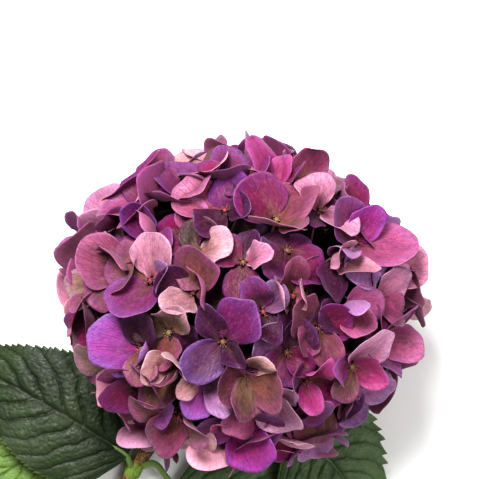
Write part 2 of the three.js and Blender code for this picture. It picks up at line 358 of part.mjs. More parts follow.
// ---- cyme branches: a hub, seven main branches, and one twig to each cymule stalk ----
const MAIN = 7;
let mains = [];
for (let k = 0; k < MAIN; k++) mains.push(stalks[Math.floor(((k + 0.5) * stalks.length) / MAIN)].mean.clone());
for (let it = 0; it < 20; it++) {
  const sums = mains.map(() => V(0, 0, 0));
  stalks.forEach((s) => {
    let best = 0;
    mains.forEach((m, k) => { if (m.dot(s.mean) > mains[best].dot(s.mean)) best = k; });
    s.main = best;
    sums[best].add(s.mean);
  });
  mains = sums.map((s, k) => (s.length() > 0 ? s.normalize() : mains[k]));
}
let cyme = solidOf(new THREE.IcosahedronGeometry(HUB_RADIUS, 1).translate(HUB.x, HUB.y, HUB.z));
mains.forEach((m) => {
  cyme = cyme.add(solidOf(rod([HUB.clone(), HUB.clone().addScaledVector(m, 12.5)], [2.3, 1.9], 6)));
});
stalks.forEach((s) => {
  const from = HUB.clone().addScaledVector(mains[s.main], 11.5);
  const to = HUB.clone().addScaledVector(s.mean, BRANCH_END);
  cyme = cyme.add(solidOf(rod([from, to], [1.4, 1.2], 3)));
});
addNode('cyme_branches', geometryOf(largest(cyme)), 0x9aa56a, 0.55);

// ---- the stem ----
const STEM_R = STEM_RADIUS_LOW;
const plan = V(-Math.cos(rad(HEAD_AXIS_PLAN)), -Math.sin(rad(HEAD_AXIS_PLAN)), 0);
function stemPath() {
  const pts = [];
  const start = HUB.clone().addScaledVector(AXIS, -(HUB_RADIUS + 0.4));
  const neck = HUB.clone().addScaledVector(AXIS, -STEM_NECK);
  for (let i = 0; i < 3; i++) pts.push(start.clone().lerp(neck, i / 3));
  const up = rad(HEAD_AXIS_UP);
  const steps = 10;
  for (let i = 0; i <= steps; i++) {
    const a = up * (1 - i / steps);
    const run = STEM_BEND_RADIUS * (Math.sin(up) - Math.sin(a));
    const drop = STEM_BEND_RADIUS * (Math.cos(a) - Math.cos(up));
    pts.push(V(neck.x + plan.x * run, neck.y + plan.y * run, neck.z - drop));
  }
  const last = pts[pts.length - 1];
  const swing = rad(STEM_SWING);
  const R = STEM_LYING / swing;
  const side = V(-plan.y, plan.x, 0);
  for (let i = 1; i <= 8; i++) {
    const a = (swing * i) / 8;
    pts.push(V(last.x + plan.x * R * Math.sin(a) + side.x * R * (1 - Math.cos(a)),
      last.y + plan.y * R * Math.sin(a) + side.y * R * (1 - Math.cos(a)), last.z));
  }
  return pts;
}
const stemPts = stemPath();
const lowZ = stemPts[stemPts.length - 1].z;
stemPts.forEach((p, i) => { p.z += (STEM_R * 0.985 - lowZ) * Math.min(1, i / 12); });
const along = [0];
for (let i = 1; i < stemPts.length; i++) along.push(along[i - 1] + stemPts[i].distanceTo(stemPts[i - 1]));
const stemLength = along[along.length - 1];
function stemAt(s) {
  let i = 1;
  while (i < stemPts.length - 1 && along[i] < s) i++;
  const t = (s - along[i - 1]) / (along[i] - along[i - 1]);
  return stemPts[i - 1].clone().lerp(stemPts[i], t);
}
function stemRadius(s) {
  const t = Math.min(1, s / 120);
  let r = STEM_RADIUS_TOP + (STEM_RADIUS_LOW - STEM_RADIUS_TOP) * t;
  return r;
}
// swollen nodes where the leaf pairs stand
const NODE_S = [44, 108, 190];
const stations = [];
for (let s = 0; s <= stemLength - 8; s += 11) if (!NODE_S.some((n) => Math.abs(n - s) < 7)) stations.push(s);
NODE_S.forEach((n) => stations.push(n - 6, n - 2, n + 2, n + 6));
stations.push(stemLength);
stations.sort((a, b) => a - b);
const stemRadii = stations.map((s) => {
  let r = stemRadius(s);
  NODE_S.forEach((n) => { if (Math.abs(s - n) < 3) r *= 1.22; });
  return r;
});
const stemLine = stations.map((s, i) => {
  const p = stemAt(s);
  p.z = Math.max(p.z, stemRadii[i]);
  return p;
});
const stemSolid = solidOf(rod(stemLine, stemRadii, 10));
addNode('stem', geometryOf(stemSolid), 0x7a6a45, 0.7);

// ---- leaves ----
// start and end of the blade, the middle handle of its midrib, half width, fold, droop of the sides
const LEAVES = [
  { name: 'leaf_upper_right', node: 44, petiole: [[-2, -52, 34]], a: [29, -69, 25], k: [62, -88, 30], b: [74, -124, 1.2], w: 36, lift: 0.0 },
  { name: 'leaf_upper_left', node: 44, petiole: [[-50, -40, 20]], a: [-76, -52, 8], k: [-108, -76, 9], b: [-162, -108, 1.2], w: 31, lift: 0.0 },
  { name: 'leaf_lower_left', node: 108, petiole: [], a: [-66, -84, 17], k: [-111, -54, 35], b: [-178, -20, 1.2], w: 37, lift: 0.04 },
  { name: 'leaf_lower_right', node: 108, petiole: [[-50, -87, 15], [-44, -96, 14]], a: [-38, -104, 11], k: [10, -112, 16], b: [72, -130, 1.2], w: 31, lift: 0.0 },
];
function blade(t) {
  // half width of the blade along its length, broad near the base and drawn out at the tip
  const x = Math.min(Math.max(t, 0), 1);
  return Math.pow(Math.sin(Math.PI * Math.pow(x, 0.72)), 0.78) * (1 - 0.32 * x * x) * 1.06;
}
function leafGeometry(L) {
  const a = V(...L.a);
  const k = V(...L.k);
  const b = V(...L.b);
  const NU = 13;
  const cols = [-1, -0.5, 0, 0.5, 1];
  const at = (t) => a.clone().multiplyScalar((1 - t) * (1 - t)).addScaledVector(k, 2 * t * (1 - t)).addScaledVector(b, t * t);
  const top = [];
  const low = [];
  for (let i = 0; i <= NU; i++) {
    const t = i / NU;
    const p = at(t);
    const q = at(Math.min(t + 0.01, 1)).sub(at(Math.max(t - 0.01, 0))).normalize();
    const side = V(q.y, -q.x, 0).normalize();
    let w = Math.max(L.w * blade(t), 0.9);
    if (i > 0 && i < NU) w *= i % 2 ? 1.03 : 0.97;
    cols.forEach((c) => {
      const v = p.clone().addScaledVector(side, c * w);
      v.z = Math.max(p.z + L.lift * w * Math.abs(c) - 0.006 * c * c * w * w * 0.35, 0);
      top.push(V(v.x, v.y, v.z + LEAF_THICKNESS));
      low.push(v);
    });
  }
  const n = cols.length;
  const pts = top.concat(low);
  const o = top.length;
  const faces = [];
  for (let i = 0; i < NU; i++) {
    for (let c = 0; c < n - 1; c++) {
      const p = i * n + c;
      faces.push([p, p + n, p + n + 1], [p, p + n + 1, p + 1]);
      faces.push([o + p, o + p + n + 1, o + p + n], [o + p, o + p + 1, o + p + n + 1]);
    }
    const l = i * n;
    faces.push([l, o + l, o + l + n], [l, o + l + n, l + n]);
    const r = i * n + n - 1;
    faces.push([r, r + n, o + r + n], [r, o + r + n, o + r]);
  }
  for (let c = 0; c < n - 1; c++) {
    faces.push([c, c + 1, o + c + 1], [c, o + c + 1, o + c]);
    const e = NU * n + c;
    faces.push([e, o + e, o + e + 1], [e, o + e + 1, e + 1]);
  }
  return meshOf(pts, faces.map((f) => [f[0], f[2], f[1]]));
}
const stemFat = solidOf(rod(stemLine, stemRadii.map((r) => r + 0.35), 10));
LEAVES.forEach((L) => {
  let solid = solidOf(leafGeometry(L));
  if (solid.volume() < 0) throw new Error('leaf inside out');
  const root = stemAt(L.node);
  const a = V(...L.a);
  const k = V(...L.k);
  const into = a.clone().add(k.clone().sub(a).normalize().multiplyScalar(6)).add(V(0, 0, 0.2));
  const pet = rod([root, ...L.petiole.map((p) => V(...p)), a.clone().add(V(0, 0, 0.3)), into], [2.3, ...L.petiole.map(() => 1.8), 1.5, 0.8], 6);
  solid = solid.add(solidOf(pet)).subtract(stemFat);
  addNode(L.name, geometryOf(largest(solid)), 0x3f5a33, 0.55);
});

export default group;
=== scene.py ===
import bpy
import math
import numpy as np
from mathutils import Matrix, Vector


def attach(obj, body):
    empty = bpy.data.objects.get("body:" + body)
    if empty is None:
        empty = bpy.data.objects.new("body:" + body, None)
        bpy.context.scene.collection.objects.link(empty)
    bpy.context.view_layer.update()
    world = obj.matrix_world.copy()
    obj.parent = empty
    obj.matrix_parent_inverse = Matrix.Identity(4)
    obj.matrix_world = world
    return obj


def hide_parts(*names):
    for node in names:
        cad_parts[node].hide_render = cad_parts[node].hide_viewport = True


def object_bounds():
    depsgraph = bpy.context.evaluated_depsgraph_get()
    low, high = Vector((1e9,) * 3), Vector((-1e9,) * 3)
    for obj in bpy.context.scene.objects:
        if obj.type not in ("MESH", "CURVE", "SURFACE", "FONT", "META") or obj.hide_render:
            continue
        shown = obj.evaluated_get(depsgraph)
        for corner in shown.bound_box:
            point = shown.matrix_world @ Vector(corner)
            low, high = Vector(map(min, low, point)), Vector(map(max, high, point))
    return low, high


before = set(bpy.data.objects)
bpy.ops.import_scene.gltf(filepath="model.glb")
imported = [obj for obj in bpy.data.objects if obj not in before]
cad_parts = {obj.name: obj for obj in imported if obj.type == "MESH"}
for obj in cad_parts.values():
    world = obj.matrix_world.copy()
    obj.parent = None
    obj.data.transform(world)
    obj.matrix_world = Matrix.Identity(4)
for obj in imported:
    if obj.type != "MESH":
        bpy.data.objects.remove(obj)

cad_lo, cad_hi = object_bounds()

# ------------------------------------------------------------------ layout, in mm, as in the CAD source
# The florets' eyes are written about the head's middle; SHIFT brings them into the part's frame.
SHIFT = np.array([41.2778, 85.1191, 0.0])
HEAD_C = np.array([0.0, 0.0, 73.0])
SEMI = np.array([99.0, 88.5, 84.0])
UP, PLAN = math.radians(42), math.radians(56)
AXIS = np.array([math.cos(UP) * math.cos(PLAN), math.cos(UP) * math.sin(PLAN), math.sin(UP)])
HUB = HEAD_C - 20.0 * AXIS
HUB_R, BRANCH_END, STALK_START = 4.6, 23.4, 24.0
STEM_NECK, STEM_BEND_R, STEM_LYING, STEM_SWING = 22.0, 166.0, 150.0, math.radians(20)
STEM_R_TOP, STEM_R_LOW = 3.1, 4.3
NODE_S = [44.0, 108.0, 190.0]
LEAVES = [
    ("leaf_upper_right", 44, [(-2, -52, 34)], (29, -69, 25), (62, -88, 30), (74, -124, 1.2), 36, 0.0),
    ("leaf_upper_left", 44, [(-50, -40, 20)], (-76, -52, 8), (-108, -76, 9), (-162, -108, 1.2), 31, 0.0),
    ("leaf_lower_left", 108, [], (-66, -84, 17), (-111, -54, 35), (-178, -20, 1.2), 37, 0.04),
    ("leaf_lower_right", 108, [(-50, -87, 15), (-44, -96, 14)], (-38, -104, 11), (10, -112, 16), (72, -130, 1.2), 31, 0.0),
]
SLOTS = {"19": "sepals_rose", "11": "sepals_rose", "13": "sepals_rose", "26": "sepals_rose", "37": "sepals_rose", "28": "sepals_violet", "25": "sepals_rose", "4": "sepals_violet", "2": "sepals_rose", "0": "sepals_rose", "1": "sepals_pale", "3": "sepals_rose", "9": "sepals_rose", "7": "sepals_rose", "12": "sepals_rose", "20": "sepals_rose", "18": "sepals_rose", "14": "sepals_rose", "22": "sepals_rose", "21": "sepals_violet", "5": "sepals_violet", "35": "sepals_rose", "45": "sepals_rose", "36": "sepals_rose", "38": "sepals_rose", "27": "sepals_rose", "42": "sepals_rose", "23": "sepals_rose", "40": "sepals_rose", "24": "sepals_violet", "44": "sepals_rose", "32": "sepals_rose", "6": "sepals_rose", "15": "sepals_rose", "29": "sepals_rose", "34": "sepals_rose", "30": "sepals_rose", "10": "sepals_rose", "43": "sepals_pale", "31": "sepals_rose", "16": "sepals_violet", "39": "sepals_rose", "17": "sepals_violet", "41": "sepals_rose", "8": "sepals_rose", "33": "sepals_rose"}
# eye x y z, outward direction, cymule, then four sepals:
# direction, length, width, lift, curl along, cup across, colour
FLORETS = [
    [-69.4, 45.6, 93.7, -0.73, 0.61, 0.31, 19, [[34, 23, 26, 12, -10, 10, "cr"], [206, 20, 20, 5, 0, 10, "pp"], [278, 20, 18, 38, 10, 25, "mr"], [141, 17, 18, -8, 0, 10, "pp"]]],
    [-49.8, 32.6, 126.1, -0.5, 0.42, 0.76, 11, [[98, 23, 17, 35, 10, 20, "mp"], [33, 22, 24, 48, 25, 40, "rp"], [203, 18, 18, -5, 0, 0, "mr"], [325, 15, 16, 10, 0, 0, "mv"]]],
    [-48.8, 9.4, 138.8, -0.46, 0.11, 0.88, 13, [[152, 27, 26, 10, 0, 5, "or"], [75, 24, 25, 15, -8, 12, "pp"], [10, 14, 17, 45, 25, 20, "li"], [231, 26, 27, 5, 0, 5, "mv"]]],
    [-78.8, 12.3, 107.3, -0.84, 0.17, 0.52, 26, [[91, 23, 24, 14, -10, 12, "cr"], [198, 21, 25, 28, -20, 20, "cg"], [264, 23, 13, 55, 0, 50, "or"], [25, 16, 16, 0, 0, 0, "rp"]]],
    [-85.7, -17.6, 75.1, -0.97, -0.26, 0.04, 37, [[34, 16, 18, 25, -15, 15, "dr"], [147, 17, 17, 30, -20, 15, "pp"], [329, 15, 15, 42, 0, 30, "dr"], [213, 16, 16, 0, 0, 0, "dp"]]],
    [-53.8, -27.5, 132.3, -0.5, -0.33, 0.8, 28, [[183, 27, 31, 22, -8, 6, "vi"], [341, 12, 15, 55, 30, 30, "vi"], [97, 20, 18, -8, 0, 0, "dp"], [275, 18, 18, -5, 0, 0, "or"]]],
    [-72.2, -35.4, 100.5, -0.77, -0.48, 0.42, 37, [[167, 20, 27, 48, -28, 25, "cg"], [233, 20, 20, 20, -10, 10, "dr"], [298, 20, 20, 35, -20, 20, "pe"], [4, 16, 16, 0, 0, 0, "dp"]]],
    [-38.8, -18.6, 136.8, -0.38, -0.23, 0.9, 25, [[60, 23, 20, 32, -20, 25, "cg"], [152, 21, 21, 12, 0, 5, "ol"], [256, 20, 18, 0, 0, 0, "or"], [330, 18, 18, -10, 0, 0, "dp"]]],
    [-38.0, -36.2, 133.2, -0.36, -0.44, 0.82, 28, [[31, 23, 17, 72, -10, 15, "cr"], [182, 17, 17, 68, -10, 10, "cr"], [248, 25, 21, 18, 0, 10, "og"], [313, 26, 15, 58, 0, 35, "dr"]]],
    [-25.7, 2.4, 145.9, -0.24, 0.03, 0.97, 13, [[79, 24, 23, 22, 5, 20, "or"], [14, 25, 23, 38, 20, 25, "dr"], [163, 19, 21, 8, 0, 5, "dp"], [228, 18, 19, 68, -12, 10, "cr"]]],
    [-23.6, 24.8, 139.3, -0.23, 0.31, 0.92, 11, [[0, 20, 19, 48, -30, 15, "cr"], [88, 18, 20, 5, 0, 0, "ol"], [180, 18, 18, 5, 0, 0, "mr"], [266, 20, 20, 10, 0, 10, "or"]]],
    [-8.3, 48.5, 133.2, -0.08, 0.58, 0.81, 4, [[152, 28, 24, 10, -5, 12, "rp"], [84, 21, 21, 16, -5, 15, "mp"], [352, 16, 18, 8, 0, 10, "dp"], [228, 20, 18, 0, 0, 0, "dp"]]],
    [19.5, 66.0, 115.1, 0.18, 0.8, 0.57, 2, [[136, 24, 20, 42, -10, 25, "bp"], [71, 16, 13, 52, 0, 30, "bp"], [202, 19, 13, 55, -20, 20, "pp"], [348, 20, 17, 18, 0, 10, "mr"]]],
    [19.9, 42.9, 137.0, 0.18, 0.5, 0.84, 0, [[132, 25, 27, 10, 0, 8, "mr"], [52, 26, 22, 32, -15, 20, "dr"], [270, 14, 28, 62, -15, 5, "pp"], [347, 16, 17, 0, 0, 0, "or"]]],
    [25.7, 25.9, 136.9, 0.25, 0.33, 0.91, 0, [[230, 20, 24, 8, -5, 8, "mv"], [321, 22, 24, 8, -5, 8, "mr"], [41, 14, 14, -5, 0, 0, "mv"], [143, 14, 16, -5, 0, 0, "dp"]]],
    [44.3, 49.4, 124.7, 0.41, 0.59, 0.69, 1, [[130, 19, 21, 26, -14, 15, "pp"], [335, 21, 23, 16, -14, 12, "cp"], [240, 14, 14, -10, 0, 0, "dp"], [40, 14, 13, -8, 0, 0, "mv"]]],
    [50.8, 62.9, 80.1, 0.53, 0.84, 0.11, 3, [[139, 20, 21, 18, -8, 12, "dq"], [25, 17, 18, 0, 0, 0, "dp"], [204, 16, 16, -5, 0, 0, "dp"], [320, 16, 16, -5, 0, 0, "mv"]]],
    [63.8, 31.9, 121.1, 0.62, 0.4, 0.67, 1, [[146, 25, 22, 16, -5, 12, "mv"], [81, 22, 19, 36, 5, 20, "mb"], [2, 32, 27, 14, 5, 14, "rp"], [296, 24, 25, 6, -5, 6, "li"]]],
    [76.8, 35.5, 78.4, 0.86, 0.51, 0.09, 9, [[141, 19, 15, 52, -10, 25, "or"], [33, 18, 18, 10, 0, 0, "dp"], [328, 16, 16, 0, 0, 0, "dp"], [207, 14, 14, 0, 0, 0, "mr"]]],
    [52.9, 20.5, 131.8, 0.51, 0.25, 0.82, 1, [[157, 19, 17, 70, -22, 20, "pe"], [328, 23, 17, 74, -20, 18, "pe"], [88, 21, 17, 62, 10, 15, "li"], [260, 20, 20, 0, 0, 0, "dp"]]],
    [57.8, -6.6, 131.4, 0.56, -0.08, 0.82, 7, [[95, 22, 12, 62, 0, 30, "li"], [14, 19, 23, 32, -14, 14, "rp"], [305, 17, 19, 25, -14, 12, "rp"], [203, 16, 16, 0, 0, 0, "dp"]]],
    [76.8, 1.2, 113.8, 0.79, 0.02, 0.61, 12, [[53, 21, 21, 46, -24, 20, "cp"], [327, 19, 19, 42, -18, 16, "rp"], [118, 16, 17, 20, 0, 10, "mr"], [252, 18, 17, 18, 0, 10, "mr"]]],
    [86.9, -12.7, 75.5, 0.98, -0.18, 0.04, 20, [[330, 18, 19, 10, 0, 5, "dp"], [35, 15, 15, 15, 0, 5, "mr"], [154, 18, 19, 8, 0, 5, "dp"], [219, 14, 15, 0, 0, 0, "mv"]]],
    [61.4, -36.3, 120.5, 0.6, -0.45, 0.66, 18, [[59, 28, 23, 52, -25, 22, "cp"], [333, 20, 17, 45, 25, 30, "bp"], [163, 25, 17, 48, 18, 25, "mb"], [233, 18, 18, 0, 0, 0, "or"]]],
    [36.3, -44.4, 128.7, 0.35, -0.54, 0.77, 14, [[335, 25, 26, 6, -4, 8, "mr"], [56, 19, 13, 66, -5, 20, "bp"], [159, 21, 23, 10, 0, 8, "mv"], [269, 19, 13, 66, -8, 15, "bp"]]],
    [4.4, -41.1, 140.6, 0.04, -0.48, 0.88, 22, [[338, 25, 25, 14, -4, 8, "or"], [269, 23, 19, 12, 0, 12, "og"], [203, 21, 23, 10, 8, 18, "dr"], [54, 27, 15, 68, -15, 20, "cr"]]],
    [-9.3, -24.4, 146.1, -0.08, -0.28, 0.96, 21, [[121, 21, 15, 22, 0, 18, "dp"], [55, 27, 23, 26, -8, 18, "mp"], [226, 25, 21, 10, 0, 10, "vp"], [322, 17, 13, 52, 0, 25, "dp"]]],
    [-19.8, -44.0, 133.2, -0.19, -0.54, 0.82, 21, [[192, 15, 15, 62, -25, 15, "cr"], [258, 21, 17, 26, -10, 15, "vi"], [324, 21, 17, 36, -16, 18, "li"], [108, 14, 14, -5, 0, 0, "dp"]]],
    [12.5, -8.1, 146.9, 0.12, -0.1, 0.99, 5, [[119, 23, 17, 38, -14, 22, "mv"], [53, 16, 15, 30, -20, 15, "li"], [200, 14, 14, 0, 0, 0, "dp"], [287, 18, 16, 18, 0, 15, "dp"]]],
    [28.9, 0.8, 144.0, 0.27, 0.01, 0.96, 5, [[178, 24, 17, 74, -5, 10, "pe"], [12, 21, 15, 74, -5, 10, "pe"], [100, 20, 17, 58, -8, 12, "dr"], [280, 18, 18, 0, 0, 0, "dp"]]],
    [42.8, -16.7, 135.9, 0.42, -0.21, 0.88, 7, [[207, 17, 17, 22, -5, 12, "dr"], [141, 24, 21, 20, 0, 12, "dr"], [28, 19, 21, 16, 0, 10, "mr"], [286, 19, 19, 22, 5, 12, "dr"]]],
    [25.2, -29.5, 138.3, 0.24, -0.36, 0.9, 14, [[139, 20, 20, 12, 0, 8, "li"], [50, 18, 19, 5, 0, 5, "dp"], [235, 18, 21, 10, 0, 8, "mv"], [330, 15, 15, 0, 0, 0, "mr"]]],
    [-33.9, -63.6, 109.9, -0.33, -0.79, 0.52, 35, [[172, 27, 19, 26, -18, 18, "or"], [243, 25, 23, 20, -12, 15, "dr"], [309, 23, 21, 20, -12, 12, "cr"], [14, 23, 17, 32, -15, 18, "or"]]],
    [-52.9, -60.3, 90.7, -0.55, -0.8, 0.26, 45, [[293, 24, 24, 15, -16, 14, "rp"], [188, 18, 17, 10, -10, 10, "pp"], [359, 18, 18, 5, 0, 0, "mr"], [122, 15, 15, 0, 0, 0, "or"]]],
    [-67.9, -50.8, 73.3, -0.72, -0.69, 0.0, 45, [[326, 19, 20, 20, -14, 12, "rp"], [206, 14, 16, 30, 0, 20, "dr"], [32, 19, 19, 15, -10, 12, "pp"], [140, 16, 16, 0, 0, 0, "dp"]]],
    [-2.8, -68.8, 114.3, -0.03, -0.83, 0.56, 36, [[131, 19, 11, 32, 0, 25, "bp"], [16, 25, 21, 18, -8, 14, "mv"], [311, 27, 27, 14, -10, 12, "mb"], [196, 21, 21, 12, -8, 10, "mv"]]],
    [12.1, -76.8, 71.8, 0.12, -0.99, -0.02, 38, [[147, 25, 19, 5, -10, 10, "cp"], [33, 22, 18, 5, -10, 10, "cp"], [327, 15, 15, 0, 0, 0, "mr"], [213, 16, 16, 0, 0, 0, "mr"]]],
    [29.4, -62.7, 113.9, 0.28, -0.77, 0.57, 27, [[127, 19, 19, 12, 0, 10, "vp"], [13, 19, 19, 20, -5, 12, "mv"], [211, 23, 21, 16, -10, 12, "mr"], [299, 19, 19, 10, -8, 10, "dr"]]],
    [45.7, -57.4, 106.2, 0.46, -0.74, 0.48, 27, [[236, 23, 27, 6, -10, 8, "og"], [329, 21, 21, 6, -8, 8, "dr"], [34, 15, 15, 0, 0, 0, "dp"], [171, 15, 15, 0, 0, 0, "mv"]]],
    [65.5, -44.9, 99.8, 0.69, -0.6, 0.4, 18, [[251, 22, 23, 10, -10, 10, "or"], [324, 24, 21, 16, -12, 12, "li"], [185, 18, 18, 8, 0, 8, "or"], [30, 15, 15, 0, 0, 0, "mr"]]],
    [81.4, -29.8, 74.5, 0.91, -0.42, 0.02, 20, [[217, 22, 18, 20, -12, 12, "li"], [330, 16, 17, 25, -15, 15, "mv"], [36, 16, 15, 22, 0, 15, "mr"], [151, 15, 15, 0, 0, 0, "mr"]]],
    [1.6, 18.8, 145.9, 0.01, 0.22, 0.97, 4, [[8, 20, 15, 62, -25, 18, "pp"], [146, 17, 17, 12, 0, 10, "mr"], [80, 16, 15, 15, 0, 10, "dp"], [268, 18, 18, 0, 0, 5, "mr"]]],
    [-32.0, 37.3, 128.8, -0.32, 0.48, 0.81, 11, [[50, 17, 18, 10, 0, 10, "rp"], [150, 16, 16, 5, 0, 5, "mr"], [230, 16, 16, 10, 0, 5, "dr"], [330, 16, 17, 5, 0, 5, "mr"]]],
    [-60.9, -11.5, 122.0, -0.65, -0.16, 0.75, 25, [[57, 17, 17, 5, 0, 5, "or"], [137, 16, 17, 10, 0, 5, "rp"], [243, 17, 17, 5, 0, 5, "or"], [317, 16, 16, 0, 0, 5, "dp"]]],
    [-0.5, 7.5, 6.5, -0.0, 0.03, -1.0, 42, [[211, 24.8, 22.3, 5, 2, 2, "mr"], [307, 26.5, 24.5, 5, -2, 4, "dr"], [31, 24.4, 23.9, 1, -1, 17, "dr"], [123, 21.6, 22.5, -3, 1, 4, "mr"]]],
    [-12.8, 72.0, 43.0, -0.12, 0.9, -0.42, 23, [[73, 26.0, 27.0, 8, 1, 6, "rp"], [169, 24.4, 26.7, -3, -5, 7, "rp"], [253, 20.6, 18.2, 6, 3, 12, "rp"], [332, 21.5, 20.8, 21, -6, 6, "rp"]]],
    [36.9, -30.5, 11.0, 0.35, -0.37, -0.86, 40, [[88, 25.1, 27.0, -4, 2, 0, "mr"], [177, 24.6, 25.1, 5, -1, 1, "rp"], [267, 25.7, 27.8, 3, 5, 6, "mr"], [358, 21.2, 22.1, 0, 2, 12, "rp"]]],
    [50.1, 24.5, 15.1, 0.49, 0.31, -0.82, 24, [[128, 25.1, 22.1, 1, 5, 17, "vp"], [236, 25.7, 27.9, 0, 2, 10, "li"], [315, 20.6, 21.3, -5, 3, 13, "vi"], [43, 25.2, 22.3, -2, -5, 8, "vp"]]],
    [-70.1, 16.7, 28.6, -0.72, 0.22, -0.66, 44, [[6, 24.1, 22.3, 55, -16, 21, "mv"], [89, 22.1, 20.8, 5, -11, 1, "mr"], [188, 20.6, 22.1, 27, -9, 12, "mv"], [278, 22.6, 23.9, -1, -10, 1, "mv"]]],
    [50.0, -49.0, 50.0, 0.58, -0.74, -0.34, 32, [[253, 26.5, 24.2, 24, -3, 5, "mr"], [339, 23.6, 24.3, 23, -6, 17, "rp"], [69, 21.9, 20.1, -3, -12, 15, "rp"], [165, 21.9, 21.6, 42, -7, 22, "mv"]]],
    [-24.6, 74.1, 90.9, -0.24, 0.94, 0.25, 6, [[290, 25.9, 27.1, 12, -13, 20, "cr"], [22, 22.1, 20.1, 55, -21, 6, "or"], [111, 25.0, 27.0, 7, -21, 2, "cr"], [206, 21.7, 21.4, 13, -6, 8, "cr"]]],
    [24.9, 61.1, 29.8, 0.24, 0.76, -0.6, 15, [[333, 23.3, 22.5, 14, 5, 10, "mr"], [63, 24.4, 22.2, 23, -6, 6, "mv"], [154, 24.9, 24.9, 6, -1, 1, "mr"], [247, 22.3, 23.0, 28, -1, 19, "mr"]]],
    [70.4, -11.8, 27.6, 0.72, -0.16, -0.67, 29, [[118, 21.1, 21.0, 25, -17, 1, "mr"], [204, 23.1, 24.7, 22, -5, 11, "rp"], [279, 25.3, 27.5, 53, 4, 1, "rp"], [11, 20.5, 20.6, 26, -19, 17, "mv"]]],
    [-29.6, 45.1, 16.4, -0.28, 0.55, -0.78, 34, [[126, 22.2, 21.1, -1, 0, 3, "mv"], [225, 24.7, 25.6, 3, -3, 7, "mv"], [303, 21.9, 23.1, 2, -1, 5, "mv"], [48, 23.6, 22.4, -3, -1, 14, "mv"]]],
    [-54.7, 59.6, 53.5, -0.56, 0.78, -0.29, 30, [[44, 22.4, 23.5, 6, -19, 18, "li"], [151, 21.1, 19.8, 38, 0, 5, "mr"], [228, 22.5, 22.5, 37, -11, 20, "mv"], [334, 26.0, 26.9, 49, -3, 1, "mr"]]],
    [20.0, -8.5, 6.5, 0.06, -0.03, -1.0, 42, [[203, 23.7, 22.5, 2, 1, 3, "mr"], [292, 22.5, 22.9, 5, -5, 14, "mr"], [24, 22.9, 20.3, 3, -1, 8, "mr"], [105, 21.1, 20.8, 3, 1, 12, "mv"]]],
    [26.4, 76.0, 72.3, 0.26, 0.97, -0.01, 10, [[241, 25.1, 22.5, 46, -9, 11, "mr"], [331, 24.1, 22.8, 12, -19, 1, "mv"], [57, 21.4, 21.7, 56, -19, 10, "mr"], [142, 22.7, 24.8, 25, 0, 4, "mv"]]],
    [-81.6, 26.1, 53.1, -0.88, 0.36, -0.31, 43, [[337, 20.5, 22.1, 5, -22, 21, "mr"], [59, 24.8, 22.1, 7, -7, 7, "mp"], [149, 23.4, 23.1, 7, -8, 16, "mp"], [233, 24.5, 22.6, 21, -4, 17, "mb"]]],
    [19.6, 42.4, 11.7, 0.19, 0.51, -0.84, 31, [[313, 23.7, 22.4, -4, 0, 9, "rp"], [50, 25.1, 23.8, -4, -1, 6, "bp"], [143, 20.6, 20.7, 1, -2, 6, "bp"], [240, 22.6, 24.7, -2, -1, 12, "pe"]]],
    [66.6, 49.4, 53.6, 0.69, 0.66, -0.29, 16, [[344, 22.6, 23.1, 23, -16, 1, "vi"], [67, 20.8, 22.3, -3, -15, 4, "dp"], [166, 26.5, 25.6, 5, -18, 22, "vp"], [248, 22.0, 22.0, 5, -21, 6, "vi"]]],
    [82.0, 25.4, 53.3, 0.88, 0.35, -0.31, 16, [[13, 24.8, 25.1, 11, -21, 11, "mr"], [99, 23.9, 24.5, 9, -14, 5, "li"], [195, 20.8, 20.6, 2, -21, 19, "mv"], [281, 25.6, 23.8, 20, -18, 8, "li"]]],
    [75.9, -33.5, 48.1, 0.8, -0.46, -0.38, 29, [[3, 26.0, 24.7, 13, 1, 9, "or"], [87, 26.3, 26.8, 41, -16, 2, "or"], [192, 21.9, 23.2, 38, -4, 22, "or"], [277, 24.1, 24.8, -3, -2, 11, "cr"]]],
    [-3.1, 57.8, 21.5, -0.03, 0.71, -0.71, 31, [[66, 25.2, 24.3, 0, 2, 3, "rp"], [163, 25.0, 26.8, 2, -2, 10, "rp"], [257, 22.1, 22.5, 3, -3, 9, "mr"], [347, 26.0, 25.9, 1, 1, 19, "mr"]]],
    [-14.8, -77.2, 86.0, -0.15, -0.97, 0.18, 36, [[5, 26.1, 25.2, 11, -2, 5, "cr"], [93, 24.8, 24.2, 57, 5, 5, "cr"], [181, 25.1, 25.6, 8, -22, 22, "cr"], [272, 23.3, 24.2, 13, -9, 15, "or"]]],
    [40.5, -70.7, 78.9, 0.41, -0.91, 0.08, 39, [[3, 21.8, 19.6, 10, -4, 22, "mv"], [81, 25.9, 26.3, -1, -14, 13, "mr"], [174, 22.1, 22.8, 42, 4, 17, "mv"], [264, 21.3, 22.4, 55, -19, 21, "li"]]],
    [49.3, -3.9, 10.4, 0.48, -0.05, -0.88, 40, [[111, 22.5, 21.3, -1, 5, 14, "dp"], [200, 22.3, 24.1, -5, -3, 12, "dp"], [294, 22.8, 24.1, 0, 4, 15, "vi"], [5, 24.6, 23.0, -1, -5, 2, "dp"]]],
    [88.8, 12.1, 77.9, 0.98, 0.17, 0.08, 9, [[111, 24.1, 23.2, 29, -12, 8, "dr"], [188, 25.3, 26.8, 3, 0, 15, "or"], [286, 21.9, 20.2, 53, -13, 4, "dr"], [0, 24.1, 23.0, 6, -7, 14, "or"]]],
    [-51.0, 53.5, 108.6, -0.51, 0.69, 0.51, 19, [[175, 25.3, 24.8, 40, -9, 21, "rp"], [252, 23.3, 21.8, 28, -6, 10, "rp"], [345, 25.6, 25.4, 55, 4, 2, "mr"], [75, 23.2, 25.1, 21, -20, 16, "mr"]]],
